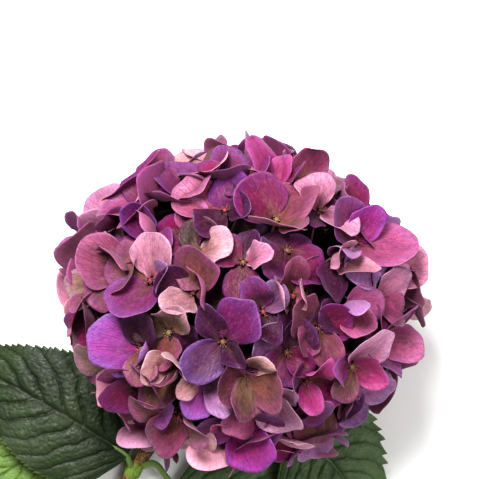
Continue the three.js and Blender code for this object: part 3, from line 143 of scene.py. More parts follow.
    [-5.8, 67.4, 112.4, -0.06, 0.83, 0.55, 6, [[255, 25.1, 25.9, 37, -2, 19, "mv"], [1, 22.4, 22.8, 9, -5, 3, "mr"], [90, 21.4, 18.9, 12, -8, 6, "mv"], [172, 25.3, 26.4, 25, -19, 20, "mv"]]],
    [57.5, -47.0, 76.0, 0.68, -0.73, 0.03, 32, [[44, 20.8, 20.9, 6, -5, 16, "mv"], [128, 23.4, 25.6, 26, -17, 10, "mp"], [234, 23.7, 25.1, 40, -5, 20, "li"], [322, 21.6, 22.3, 34, -12, 19, "li"]]],
    [-45.6, 22.9, 12.1, -0.44, 0.28, -0.85, 44, [[176, 20.6, 20.9, 1, -3, 13, "vi"], [272, 21.4, 22.8, -2, 2, 21, "dp"], [1, 26.4, 24.8, 0, 3, 10, "dp"], [87, 25.1, 23.6, -4, -4, 20, "li"]]],
    [62.5, 49.4, 100.3, 0.64, 0.65, 0.4, 3, [[31, 21.7, 22.6, 21, -2, 0, "mr"], [114, 20.5, 19.2, 58, -1, 4, "mr"], [219, 21.2, 22.8, 14, -6, 22, "rp"], [294, 26.2, 25.6, 23, -21, 3, "mr"]]],
    [-32.6, 73.3, 63.1, -0.32, 0.94, -0.14, 17, [[222, 24.8, 23.5, 7, -4, 15, "mp"], [318, 21.3, 19.0, 24, -1, 8, "li"], [49, 24.7, 23.1, 8, -5, 22, "li"], [126, 24.0, 23.0, 40, -21, 19, "mp"]]],
    [40.0, -53.9, 29.0, 0.39, -0.68, -0.62, 41, [[199, 22.3, 23.1, 5, -2, 5, "mr"], [282, 22.9, 23.1, 14, -16, 21, "mv"], [34, 24.8, 22.7, 24, -12, 5, "mv"], [124, 22.6, 23.9, 58, -17, 14, "li"]]],
    [43.0, 66.1, 51.7, 0.43, 0.85, -0.31, 10, [[144, 23.0, 24.7, 5, -18, 13, "mr"], [216, 25.3, 27.2, 19, 4, 16, "rp"], [328, 21.0, 18.9, 13, 4, 19, "rp"], [54, 25.1, 22.5, 27, -16, 19, "mr"]]],
    [-35.8, 61.5, 36.0, -0.35, 0.77, -0.52, 23, [[301, 24.4, 24.9, 18, -12, 11, "mv"], [25, 24.0, 24.3, 54, 0, 9, "li"], [120, 26.3, 25.0, 42, 1, 7, "mp"], [211, 25.7, 26.9, 43, -6, 1, "li"]]],
    [13.3, 74.4, 49.0, 0.13, 0.93, -0.34, 15, [[129, 23.6, 22.9, 40, -10, 13, "cg"], [208, 20.6, 18.9, -5, -19, 20, "dr"], [291, 25.6, 27.1, 13, 5, 3, "og"], [21, 21.1, 21.0, 18, 0, 11, "or"]]],
    [-71.7, 47.6, 66.8, -0.76, 0.65, -0.09, 30, [[144, 24.3, 23.0, 46, -18, 2, "rp"], [220, 21.8, 23.0, 27, 5, 21, "cp"], [326, 26.1, 28.0, 19, -20, 4, "rp"], [50, 25.8, 27.9, 38, -10, 13, "pp"]]],
    [79.3, -21.9, 101.8, 0.85, -0.3, 0.44, 12, [[250, 21.1, 21.8, 13, 1, 20, "mv"], [341, 22.3, 20.3, 51, 1, 20, "rp"], [71, 24.9, 23.8, -1, 1, 22, "mr"], [152, 22.7, 20.9, -1, -3, 13, "mr"]]],
    [-5.9, 79.2, 69.2, -0.06, 1.0, -0.05, 8, [[261, 23.9, 23.3, 28, -17, 10, "rp"], [334, 23.6, 23.5, -4, 5, 21, "mr"], [82, 23.9, 23.0, 7, -1, 7, "mr"], [157, 26.0, 27.8, 29, -6, 2, "mr"]]],
    [-51.3, 64.6, 82.2, -0.52, 0.84, 0.13, 17, [[315, 24.6, 24.1, 24, -11, 17, "rp"], [37, 25.9, 26.5, 47, -17, 4, "mr"], [147, 22.4, 20.0, 8, 1, 10, "mv"], [229, 26.2, 28.5, 50, -15, 11, "mv"]]],
    [-53.6, -46.9, 113.9, -0.54, -0.6, 0.59, 35, [[314, 23.0, 20.4, 11, 5, 12, "mv"], [46, 25.6, 24.5, 37, -11, 8, "mr"], [140, 23.7, 22.4, 27, -5, 2, "mr"], [215, 23.1, 20.7, 45, -4, 15, "mr"]]],
    [-89.4, 5.5, 80.3, -0.99, 0.08, 0.12, 33, [[54, 20.7, 20.3, 27, -5, 18, "bp"], [140, 23.6, 22.3, -4, -6, 1, "bp"], [235, 26.0, 27.3, 17, -14, 4, "bp"], [332, 23.1, 21.0, 15, 0, 21, "bp"]]],
    [30.5, -70.9, 50.5, 0.3, -0.9, -0.32, 39, [[286, 25.5, 26.1, 26, -3, 19, "mr"], [7, 25.4, 26.8, 16, -11, 22, "dr"], [95, 24.6, 24.2, -1, -18, 6, "mr"], [181, 22.8, 24.0, 20, -8, 8, "dr"]]],
    [-81.7, -12.1, 102.3, -0.88, -0.17, 0.45, 37, [[133, 20.8, 21.2, 4, -13, 19, "mr"], [216, 23.5, 21.8, 27, -20, 4, "mr"], [324, 21.9, 19.4, 22, -10, 14, "mr"], [40, 21.4, 22.6, 60, -16, 19, "mr"]]],
    [-86.2, -1.3, 51.6, -0.94, -0.02, -0.34, 43, [[150, 24.5, 23.5, 6, -21, 13, "cr"], [234, 26.3, 27.6, 15, -8, 4, "pp"], [316, 24.5, 23.5, 7, -16, 7, "cr"], [62, 23.0, 21.7, 26, -11, 7, "cr"]]],
    [35.6, 68.0, 98.1, 0.35, 0.86, 0.36, 2, [[95, 22.9, 20.7, 48, 2, 10, "dr"], [195, 20.5, 20.0, 9, -1, 17, "mr"], [280, 22.5, 22.3, -4, -21, 17, "dr"], [12, 24.6, 25.3, 12, 0, 4, "dr"]]],
    [85.3, -2.8, 49.3, 0.93, -0.04, -0.37, 29, [[33, 24.7, 26.5, -2, -7, 10, "or"], [139, 23.7, 21.6, -3, -3, 14, "cr"], [228, 25.9, 28.2, 50, -2, 12, "cr"], [313, 24.1, 21.8, 40, 0, 21, "cr"]]],
    [-7.2, 33.8, 6.5, -0.02, 0.12, -0.99, 34, [[16, 25.7, 24.3, -3, 4, 7, "or"], [91, 24.3, 22.6, -4, -4, 10, "or"], [192, 21.2, 22.9, -1, -2, 21, "or"], [265, 24.1, 23.4, 3, -5, 21, "mr"]]],
    [16.1, -74.5, 95.6, 0.16, -0.93, 0.32, 38, [[111, 24.1, 25.9, 0, 4, 13, "mr"], [220, 26.3, 28.3, -4, 0, 6, "rp"], [311, 20.8, 19.8, 21, -9, 10, "mr"], [23, 22.5, 22.9, 10, -15, 9, "pp"]]],
    [49.8, 47.9, 29.9, 0.49, 0.61, -0.62, 24, [[259, 21.7, 20.0, 26, -18, 19, "mp"], [336, 25.3, 24.0, 4, -22, 19, "mb"], [74, 25.9, 25.3, 23, -1, 21, "mp"], [155, 23.8, 21.8, 38, -6, 1, "mb"]]],
    [78.7, 24.4, 101.2, 0.84, 0.33, 0.43, 9, [[1, 26.2, 26.5, 4, -2, 5, "pp"], [103, 24.1, 23.1, -1, -3, 8, "mr"], [195, 24.5, 26.5, -3, -19, 14, "rp"], [288, 22.2, 23.7, 30, -14, 4, "mr"]]],
    [71.5, 16.1, 30.0, 0.74, 0.21, -0.64, 16, [[197, 24.0, 26.0, 18, -22, 18, "cr"], [305, 25.8, 25.9, 1, 1, 14, "cr"], [26, 26.1, 25.1, 41, 5, 18, "pp"], [128, 20.6, 20.3, 49, 5, 6, "cr"]]],
    [-56.9, 42.1, 30.6, -0.57, 0.54, -0.61, 44, [[97, 23.5, 21.3, 4, -22, 3, "rp"], [185, 21.4, 22.6, 4, 3, 6, "mr"], [267, 24.2, 21.5, 29, 5, 1, "mr"], [0, 23.0, 23.3, -5, 0, 16, "rp"]]],
    [24.9, 16.5, 6.5, 0.07, 0.06, -1.0, 42, [[105, 24.6, 25.9, 3, 4, 4, "mp"], [182, 23.4, 23.8, -2, 0, 1, "li"], [286, 21.5, 19.0, 2, 1, 9, "li"], [12, 22.6, 21.2, 4, -1, 21, "li"]]],
    [58.6, -35.7, 27.2, 0.59, -0.46, -0.66, 41, [[10, 25.8, 26.7, 18, -16, 6, "rp"], [91, 24.3, 21.7, 22, -14, 10, "rp"], [180, 22.4, 22.2, 5, -13, 14, "mr"], [285, 20.8, 21.0, 7, -6, 15, "mr"]]],
    [7.7, 76.6, 91.9, 0.08, 0.96, 0.27, 8, [[16, 22.4, 20.9, 36, -13, 20, "mv"], [102, 21.8, 21.9, 15, 0, 6, "mr"], [183, 20.6, 20.8, 59, -3, 11, "mv"], [273, 24.4, 23.8, -2, -14, 6, "mv"]]],
    [-65.4, 15.6, 122.4, -0.66, 0.2, 0.72, 26, [[54, 23.2, 22.7, 55, -18, 20, "dr"], [146, 25.1, 27.3, 53, -7, 14, "dr"], [218, 22.1, 23.5, 12, -6, 16, "or"], [326, 21.4, 20.9, 10, -4, 10, "og"]]],
    [-83.3, 28.3, 82.4, -0.91, 0.39, 0.15, 33, [[110, 23.4, 25.6, 1, -21, 7, "mr"], [196, 22.2, 19.7, -2, -17, 14, "dr"], [289, 26.0, 27.6, 48, -9, 9, "dr"], [1, 25.3, 22.9, 22, -5, 20, "mr"]]],
    [10.7, -54.9, 126.5, 0.1, -0.67, 0.73, 22, [[39, 21.2, 19.2, 41, 1, 13, "pp"], [134, 25.4, 23.4, 12, -10, 8, "rp"], [229, 22.9, 23.9, 28, 2, 3, "rp"], [322, 23.2, 22.5, 19, -20, 18, "cp"]]],
    [-28.5, 60.3, 115.7, -0.28, 0.75, 0.6, 6, [[214, 23.7, 25.3, -4, -7, 17, "mr"], [298, 21.0, 20.1, 54, -21, 15, "rp"], [36, 21.1, 19.3, 40, -16, 10, "mr"], [118, 21.9, 22.4, 23, 0, 21, "mv"]]],
    [-30.8, -59.6, 68.9, -0.2, -0.93, 0.32, 45, [[238, 18.2, 16.8, 39, -9, 17, "mb"], [322, 17.3, 18.9, 21, -9, 25, "mb"], [51, 17.9, 17.8, 30, -14, 7, "mb"], [135, 19.5, 20.2, 20, 6, 5, "or"]]],
    [-66.1, -25.6, 53.2, -0.97, -0.18, -0.15, 43, [[61, 19.1, 18.3, 20, 10, 19, "ol"], [157, 18.1, 19.6, 37, -14, 17, "mr"], [243, 20.4, 21.5, 36, -6, 24, "ol"], [339, 16.5, 15.2, 47, 1, 17, "ol"]]],
    [-62.7, -8.2, 34.3, -0.88, 0.07, -0.47, 43, [[269, 17.6, 16.6, 22, 6, 23, "mp"], [349, 17.0, 18.2, 17, 4, 8, "or"], [94, 19.8, 20.8, 36, 10, 22, "mp"], [176, 20.4, 20.3, 47, 10, 20, "mp"]]],
    [14.3, -39.9, 25.5, 0.48, -0.63, -0.61, 41, [[5, 19.5, 18.1, 26, -12, 5, "dr"], [86, 18.4, 19.3, 36, -4, 20, "mv"], [182, 16.5, 17.0, 14, 6, 16, "mv"], [278, 17.2, 17.1, 50, 4, 9, "mv"]]],
    [-9.3, -63.9, 61.7, -0.18, -0.98, -0.09, 38, [[332, 19.3, 21.3, 21, 1, 1, "dp"], [72, 18.5, 19.3, 13, -9, 11, "dp"], [149, 18.9, 18.6, 13, -3, 24, "rp"], [256, 18.9, 17.9, 44, -8, 25, "rp"]]],
    [-47.4, 0.1, 22.8, -0.72, 0.19, -0.67, 44, [[11, 18.1, 16.4, 12, 9, 11, "mr"], [110, 18.4, 18.8, 43, -5, 21, "mp"], [201, 18.1, 16.8, 13, -4, 10, "mr"], [296, 20.5, 19.1, 45, 4, 6, "mp"]]],
    [5.2, -64.7, 51.4, 0.07, -0.98, -0.2, 39, [[293, 16.7, 16.1, 42, 10, 8, "dr"], [22, 16.6, 15.3, 41, -9, 12, "dr"], [124, 17.6, 17.8, 26, -7, 24, "dr"], [213, 18.4, 18.1, 34, 11, 11, "ol"]]],
    [-56.7, 29.8, 105.2, -0.68, 0.48, 0.56, 19, [[194, 18.8, 18.0, 41, 0, 0, "mv"], [285, 19.5, 17.8, 34, -6, 18, "mv"], [23, 16.8, 18.5, 47, 0, 12, "mv"], [102, 16.9, 17.1, 47, -10, 1, "mv"]]],
    [55.6, 27.6, 39.8, 0.61, 0.67, -0.43, 16, [[262, 18.9, 19.1, 44, 11, 23, "ol"], [337, 20.2, 18.3, 22, -14, 15, "ol"], [69, 17.3, 18.9, 43, -12, 24, "dp"], [174, 17.6, 17.1, 47, 3, 4, "dp"]]],
    [-7.2, -5.5, 135.0, -0.06, 0.05, 1.0, 5, [[248, 17.5, 17.8, 25, 6, 6, "mr"], [336, 17.5, 18.8, 47, -13, 6, "dp"], [66, 19.1, 18.7, 18, 0, 8, "dp"], [168, 19.5, 19.6, 21, -3, 21, "dp"]]],
    [-59.0, 31.3, 49.0, -0.79, 0.6, -0.09, 30, [[94, 16.9, 18.3, 39, -12, 7, "mp"], [186, 17.0, 18.2, 45, -5, 14, "mp"], [280, 19.8, 18.2, 48, -7, 15, "dp"], [14, 19.3, 21.3, 39, -12, 25, "mp"]]],
    [73.5, -3.1, 91.8, 0.95, 0.15, 0.28, 12, [[351, 18.6, 17.4, 38, 11, 15, "mr"], [68, 19.0, 17.7, 35, 3, 25, "mr"], [163, 16.6, 18.2, 13, -4, 16, "dp"], [253, 17.9, 19.3, 50, -7, 3, "mr"]]],
    [57.1, 44.5, 70.9, 0.73, 0.66, 0.2, 3, [[200, 18.8, 19.4, 38, 6, 2, "ol"], [292, 18.2, 18.2, 41, -2, 16, "ol"], [23, 17.7, 16.9, 17, -13, 18, "ol"], [120, 19.0, 20.9, 16, -2, 14, "ol"]]],
    [-67.9, -32.8, 76.4, -0.9, -0.28, 0.33, 37, [[306, 17.2, 16.9, 48, -14, 23, "or"], [47, 17.7, 15.9, 50, -3, 18, "or"], [122, 16.7, 17.1, 34, -6, 17, "mv"], [212, 18.5, 18.6, 32, 5, 16, "or"]]],
    [31.8, 32.7, 22.7, 0.65, 0.53, -0.55, 24, [[278, 19.7, 19.5, 47, 0, 8, "rp"], [354, 18.8, 17.5, 17, -1, 7, "or"], [82, 17.1, 18.3, 50, 4, 10, "or"], [178, 17.1, 16.7, 13, 1, 6, "rp"]]],
    [-36.7, 55.8, 93.2, -0.39, 0.88, 0.28, 6, [[104, 18.5, 18.1, 49, -9, 12, "dr"], [194, 17.9, 17.6, 36, 10, 9, "dp"], [280, 19.1, 19.5, 21, -13, 21, "dr"], [3, 16.7, 18.2, 15, -7, 4, "dp"]]],
    [-55.9, -26.5, 107.5, -0.76, -0.16, 0.63, 25, [[99, 20.4, 22.4, 22, 0, 19, "vp"], [200, 16.7, 16.0, 46, -13, 19, "rp"], [287, 18.9, 18.4, 14, -1, 20, "vp"], [9, 18.7, 19.6, 29, -6, 6, "rp"]]],
    [-27.4, -60.3, 85.2, -0.38, -0.77, 0.51, 36, [[74, 20.0, 21.7, 46, -8, 5, "dp"], [171, 17.0, 16.7, 22, -14, 24, "dp"], [258, 17.8, 17.1, 45, -3, 14, "dp"], [355, 20.4, 21.1, 21, -8, 3, "dp"]]],
    [-15.8, -51.2, 112.1, 0.1, -0.56, 0.82, 22, [[33, 20.5, 22.6, 36, 4, 0, "dp"], [134, 19.4, 19.6, 16, -9, 20, "mr"], [226, 18.0, 18.2, 15, -11, 13, "dp"], [316, 17.8, 18.1, 47, -7, 19, "dp"]]],
    [60.6, -16.3, 110.0, 0.74, 0.2, 0.64, 12, [[220, 19.0, 19.1, 17, -4, 20, "mr"], [322, 19.6, 21.2, 33, -1, 13, "mr"], [44, 18.7, 20.4, 35, 6, 8, "mv"], [132, 20.2, 19.9, 31, 4, 6, "mr"]]],
    [46.1, -19.1, 24.3, 0.84, 0.02, -0.54, 40, [[352, 20.4, 19.3, 42, 3, 8, "rp"], [79, 16.6, 18.5, 44, -2, 19, "rp"], [178, 16.8, 17.1, 40, -10, 24, "rp"], [270, 17.3, 15.9, 30, 3, 26, "rp"]]],
    [38.6, 47.1, 101.5, 0.42, 0.66, 0.62, 2, [[113, 17.6, 18.1, 23, 4, 21, "mp"], [206, 20.3, 21.7, 31, -10, 20, "mp"], [290, 20.2, 21.7, 50, -5, 15, "mp"], [18, 17.9, 17.3, 34, -1, 17, "mp"]]],
    [42.8, -55.8, 64.4, 0.82, -0.57, 0.07, 32, [[95, 19.5, 20.6, 33, -13, 4, "ol"], [204, 18.0, 19.5, 14, -8, 18, "rp"], [295, 18.3, 20.0, 44, 4, 6, "ol"], [6, 16.5, 17.4, 26, -14, 1, "ol"]]],
    [-50.0, -70.0, 66.0, -0.52, -0.8, 0.3, 45, [[200, 24.0, 25.0, 14, -12, 12, "pp"], [292, 25.0, 26.0, 20, -10, 16, "rp"], [18, 23.0, 24.0, 30, -6, 14, "mv"], [108, 22.0, 23.0, 34, -4, 18, "cp"]]],
    [52.5, 2.9, 24.3, 0.8, 0.41, -0.43, 29, [[355, 18.4, 20.5, 16, -2, 7, "mr"], [75, 20.3, 20.7, 25, 8, 13, "rp"], [176, 20.2, 21.8, 15, -3, 21, "mr"], [262, 20.2, 20.1, 14, 5, 11, "rp"]]],
    [59.2, -38.9, 61.4, 0.96, -0.26, 0.1, 32, [[348, 19.4, 21.2, 33, -6, 16, "vp"], [79, 18.1, 18.7, 42, -10, 0, "dp"], [178, 18.7, 18.9, 23, 4, 23, "vp"], [276, 19.4, 17.5, 16, 9, 10, "vp"]]],
    [28.7, -58.8, 89.7, 0.54, -0.61, 0.57, 27, [[155, 19.0, 20.1, 45, -2, 26, "rp"], [250, 20.1, 18.9, 13, 0, 21, "mp"], [343, 19.9, 21.5, 49, 3, 14, "mp"], [61, 19.3, 21.3, 27, 8, 16, "rp"]]],
    [0.6, 29.0, 128.3, 0.28, 0.5, 0.82, 4, [[206, 18.8, 19.4, 19, -3, 20, "ol"], [289, 19.9, 21.8, 25, 11, 7, "vp"], [35, 19.3, 20.3, 23, 4, 25, "vp"], [119, 18.3, 18.3, 39, -2, 20, "ol"]]],
    [57.8, 11.3, 113.8, 0.74, 0.07, 0.67, 1, [[328, 16.9, 17.0, 15, -9, 19, "dp"], [49, 19.5, 20.6, 35, -8, 0, "dp"], [161, 17.5, 19.4, 41, -10, 7, "vp"], [243, 20.1, 18.5, 34, 12, 23, "dp"]]],
    [6.6, 48.6, 117.5, 0.1, 0.83, 0.55, 0, [[297, 17.1, 16.4, 37, 5, 8, "ol"], [28, 18.0, 18.6, 31, -1, 3, "dp"], [122, 16.7, 17.4, 43, -5, 19, "ol"], [202, 17.5, 18.4, 36, 12, 20, "dp"]]],
    [36.0, 3.3, 125.5, 0.48, -0.03, 0.88, 7, [[83, 20.0, 19.0, 35, -6, 18, "rp"], [157, 17.7, 18.7, 25, -14, 10, "rp"], [255, 18.9, 19.2, 21, 11, 1, "rp"], [351, 17.2, 15.7, 26, -8, 24, "dp"]]],
    [44.2, -54.0, 86.3, 0.55, -0.77, 0.32, 18, [[325, 19.0, 21.1, 27, -3, 23, "mr"], [69, 17.7, 16.6, 44, -8, 21, "mr"], [161, 20.0, 18.8, 50, 5, 1, "mr"], [247, 16.9, 16.0, 49, 9, 25, "mr"]]],
    [-17.2, -59.2, 94.9, -0.12, -0.77, 0.63, 36, [[337, 19.9, 21.4, 46, 3, 16, "dp"], [63, 19.1, 18.7, 25, -13, 15, "mv"], [158, 19.0, 21.2, 43, -4, 1, "mv"], [237, 17.8, 19.5, 45, -6, 7, "mv"]]],
    [-19.0, 47.5, 29.6, -0.23, 0.89, -0.38, 23, [[125, 16.8, 16.3, 25, -1, 11, "or"], [210, 17.3, 17.1, 50, 10, 0, "or"], [286, 17.2, 17.5, 17, 9, 12, "or"], [28, 19.8, 19.6, 51, -10, 5, "or"]]],
    [-31.6, -44.7, 114.1, -0.5, -0.38, 0.77, 35, [[235, 18.5, 17.4, 27, 2, 8, "dp"], [321, 18.2, 17.0, 49, -1, 6, "ol"], [71, 19.7, 17.9, 51, 10, 8, "dp"], [155, 20.0, 18.7, 16, -9, 26, "ol"]]],
    [-68.2, 25.1, 93.3, -0.76, 0.38, 0.53, 33, [[40, 18.9, 20.2, 39, -11, 18, "dr"], [142, 18.6, 20.1, 42, 9, 8, "mb"], [225, 17.0, 19.0, 45, 10, 20, "mb"], [302, 17.9, 16.8, 45, 12, 21, "dr"]]],
    [62.2, -38.8, 81.3, 0.95, -0.19, 0.24, 20, [[50, 18.9, 18.8, 40, 1, 11, "mv"], [140, 20.3, 19.0, 48, -13, 13, "mv"], [220, 18.7, 18.7, 50, 11, 5, "dp"], [317, 18.0, 16.6, 42, -6, 24, "dp"]]],
    [-74.7, 9.2, 64.3, -0.95, 0.15, 0.27, 33, [[348, 16.9, 16.5, 47, 4, 12, "rp"], [88, 19.8, 19.6, 30, 3, 24, "rp"], [171, 19.0, 20.8, 19, -10, 3, "rp"], [258, 16.7, 15.7, 45, -2, 24, "rp"]]],
    [-56.7, -43.6, 86.8, -0.68, -0.4, 0.61, 45, [[221, 18.6, 19.1, 47, -3, 1, "vp"], [313, 18.4, 20.5, 29, 2, 22, "vp"], [31, 17.9, 19.2, 27, -4, 13, "vp"], [141, 17.7, 16.5, 37, -12, 17, "mv"]]],
    [7.2, -23.0, 132.8, 0.02, -0.2, 0.98, 14, [[162, 19.2, 17.4, 18, -13, 12, "or"], [249, 20.2, 20.9, 26, 0, 13, "mr"], [321, 17.7, 18.0, 36, -13, 5, "mr"], [64, 19.6, 19.0, 24, -10, 10, "or"]]],
    [73.2, -20.1, 56.5, 0.99, -0.11, -0.01, 29, [[218, 20.4, 21.4, 43, 7, 17, "ol"], [310, 20.1, 21.2, 42, -11, 21, "ol"], [34, 19.7, 19.4, 28, 12, 10, "ol"], [112, 18.4, 19.0, 17, -6, 8, "ol"]]],
    [22.3, 42.8, 115.6, 0.38, 0.63, 0.68, 0, [[262, 17.9, 16.7, 27, -13, 16, "mr"], [2, 17.6, 17.0, 26, -14, 13, "mv"], [94, 17.4, 16.2, 15, -9, 3, "mv"], [180, 16.6, 16.8, 30, 3, 22, "mv"]]],
    [1.8, 56.1, 40.0, 0.07, 0.95, -0.32, 15, [[352, 19.9, 19.0, 28, 3, 9, "mv"], [89, 17.8, 16.2, 38, -3, 25, "dp"], [179, 19.6, 19.1, 32, -9, 10, "mv"], [264, 17.9, 16.8, 20, -6, 2, "mv"]]],
    [-63.2, -3.3, 107.8, -0.73, 0.13, 0.67, 26, [[327, 17.8, 18.9, 23, -4, 3, "or"], [49, 18.6, 20.3, 25, 9, 0, "dr"], [138, 18.2, 18.6, 41, 6, 19, "or"], [220, 18.5, 17.4, 14, 6, 14, "or"]]],
    [65.8, 32.3, 61.9, 0.85, 0.52, 0.0, 16, [[172, 17.1, 17.9, 17, 4, 23, "mv"], [265, 16.9, 17.2, 15, -8, 14, "mb"], [346, 17.1, 17.5, 38, 2, 20, "mb"], [88, 20.3, 21.7, 40, 0, 18, "mv"]]],
    [-1.9, -63.6, 89.6, 0.02, -0.92, 0.4, 36, [[345, 19.4, 17.5, 24, -11, 11, "mb"], [76, 17.8, 16.8, 47, -2, 16, "mb"], [164, 17.5, 17.8, 19, -3, 2, "mb"], [256, 17.6, 16.2, 42, -11, 17, "mb"]]],
    [-66.1, 8.7, 45.0, -0.95, 0.29, -0.09, 43, [[338, 18.1, 16.8, 20, 11, 21, "or"], [71, 16.6, 15.2, 36, 9, 10, "rp"], [166, 17.1, 18.9, 14, -10, 25, "or"], [261, 19.3, 17.6, 23, 8, 1, "or"]]],
    [65.5, -0.6, 38.2, 0.96, 0.21, -0.19, 29, [[167, 17.5, 17.1, 31, -3, 6, "mv"], [259, 16.9, 17.2, 20, -9, 17, "mv"], [353, 20.1, 18.7, 48, 6, 21, "rp"], [62, 19.2, 18.5, 47, -4, 23, "mv"]]],
    [22.3, -64.0, 66.6, 0.52, -0.81, 0.27, 39, [[339, 20.2, 20.6, 52, -11, 15, "mr"], [67, 17.9, 16.5, 50, 1, 5, "mr"], [161, 17.6, 18.5, 13, 7, 16, "dp"], [262, 19.5, 18.1, 27, 0, 17, "mr"]]],
    [-21.8, -23.8, 126.2, -0.06, -0.03, 1.0, 21, [[235, 20.2, 19.5, 33, 12, 7, "vp"], [318, 19.3, 18.5, 36, 10, 19, "vp"], [54, 19.2, 17.3, 18, -14, 23, "vp"], [144, 18.1, 17.1, 38, 9, 24, "or"]]],
    [48.2, 50.9, 60.5, 0.55, 0.83, -0.08, 10, [[291, 17.3, 15.6, 44, 1, 25, "rp"], [16, 20.5, 20.1, 32, -11, 6, "mp"], [102, 17.6, 15.9, 32, 0, 4, "mp"], [211, 18.0, 17.2, 23, -3, 16, "rp"]]],
    [-7.8, 64.8, 92.5, 0.05, 0.95, 0.32, 8, [[19, 19.9, 19.8, 27, -13, 20, "mv"], [101, 17.3, 18.0, 40, 6, 15, "dp"], [188, 17.4, 17.8, 44, 8, 17, "dp"], [280, 18.4, 19.1, 14, 4, 1, "mv"]]],
    [23.1, 62.2, 56.8, 0.23, 0.97, -0.11, 10, [[6, 20.4, 20.4, 41, 3, 18, "mb"], [94, 17.9, 17.1, 46, 7, 25, "mb"], [188, 20.0, 19.8, 29, -14, 23, "or"], [271, 17.0, 17.8, 23, 6, 23, "or"]]],
]
OUTER = 101   # the florets from here on are the small ones deeper in
# sepal colours (sRGB 0-255): blade, rim, throat
PALETTE = {
    "cr": ((222, 174, 172), (236, 192, 200), (184, 122, 122)),
    "pp": ((214, 150, 174), (230, 176, 202), (176, 92, 124)),
    "cp": ((228, 160, 188), (242, 188, 214), (146, 44, 90)),
    "pe": ((212, 144, 160), (228, 174, 194), (176, 88, 114)),
    "cg": ((172, 144, 124), (198, 150, 166), (164, 120, 98)),
    "rp": ((180, 94, 132), (200, 126, 168), (146, 60, 92)),
    "mr": ((140, 40, 92), (148, 62, 132), (102, 28, 54)),
    "bp": ((172, 64, 122), (196, 100, 160), (140, 42, 86)),
    "mb": ((162, 50, 128), (166, 86, 172), (128, 32, 84)),
    "mp": ((140, 52, 120), (142, 84, 160), (104, 32, 78)),
    "mv": ((146, 68, 118), (154, 94, 158), (118, 52, 80)),
    "dr": ((140, 72, 98), (170, 100, 138), (126, 66, 66)),
    "dq": ((194, 138, 166), (212, 160, 192), (144, 90, 112)),
    "or": ((142, 94, 98), (168, 100, 138), (146, 88, 78)),
    "og": ((130, 98, 84), (144, 78, 118), (136, 100, 74)),
    "ol": ((82, 60, 52), (104, 60, 80), (98, 70, 48)),
    "vi": ((166, 82, 158), (164, 116, 188), (186, 68, 138)),
    "li": ((168, 114, 158), (184, 144, 190), (138, 74, 120)),
    # dp, deep plum: partly the sepals' own colour, partly painted shade for sepals sitting in the shadowed gaps
    "dp": ((86, 32, 70), (110, 56, 108), (70, 22, 44)),
    "vp": ((116, 60, 112), (138, 94, 162), (106, 46, 86)),
}
FLUSH = {"cr": 0.55, "cg": 0.9, "or": 0.75, "og": 0.9, "ol": 0.5, "dr": 0.35, "mv": 0.25, "pp": 0.15, "cp": 0.12, "mr": 0.25, "rp": 0.15}


def lin(c):
    c = np.asarray(c, float) / 255.0
    return np.where(c <= 0.04045, c / 12.92, ((c + 0.055) / 1.055) ** 2.4)


def unit(v):
    return v / np.linalg.norm(v)


rng = np.random.default_rng(5)

# ------------------------------------------------------------------ sepals: shape, then growth among the neighbours
NU, NV = 7, 11
PSI = math.radians(77)
U_ = np.linspace(0.07, 1.0, NU)
V_ = np.linspace(-1.0, 1.0, NV)


def tangent_frame(n):
    x = np.array([1.0, 0, 0]) if abs(n[0]) < 0.95 else np.array([0, 1.0, 0])
    e1 = unit(x - (x @ n) * n)
    return e1, np.cross(n, e1)


sep = []  # one row per sepal
for fi, f in enumerate(FLORETS):
    eye, n = np.array(f[0:3]), unit(np.array(f[3:6]))
    e1, e2 = tangent_frame(n)
    for k, (ang, ln, wd, lift, curl, cup, col) in enumerate(f[7]):
        a = math.radians(ang)
        d = math.cos(a) * e1 + math.sin(a) * e2
        sep.append(dict(f=fi, eye=eye, n=n, d=d, t=np.cross(n, d), L=ln, W=wd, lift=lift, curl=curl, cup=cup, col=col,
                        level=(k % 2) * 0.9))
S = len(sep)
A = lambda key: np.array([s[key] for s in sep], float)
L, W, LIFT, CURL, CUP = A("L") * 1.13, A("W") * 1.17, np.radians(A("lift")), np.radians(A("curl")), np.radians(A("cup"))
EYE, NRM, DIR, TAN = A("eye"), A("n"), A("d"), A("t")
FID = np.array([s["f"] for s in sep])
r_ = rng.random((S, 12))
LIFT = LIFT + np.radians(np.where(r_[:, 11] > 0.52, 10 + 74 * (r_[:, 11] - 0.52), 12 * (r_[:, 11] - 0.35)))
CUP = CUP + np.radians(np.where(r_[:, 11] > 0.55, 16 * r_[:, 7], 8 * (r_[:, 7] - 0.4)))
CURL = CURL + np.radians(26) * (r_[:, 9] - 0.5)


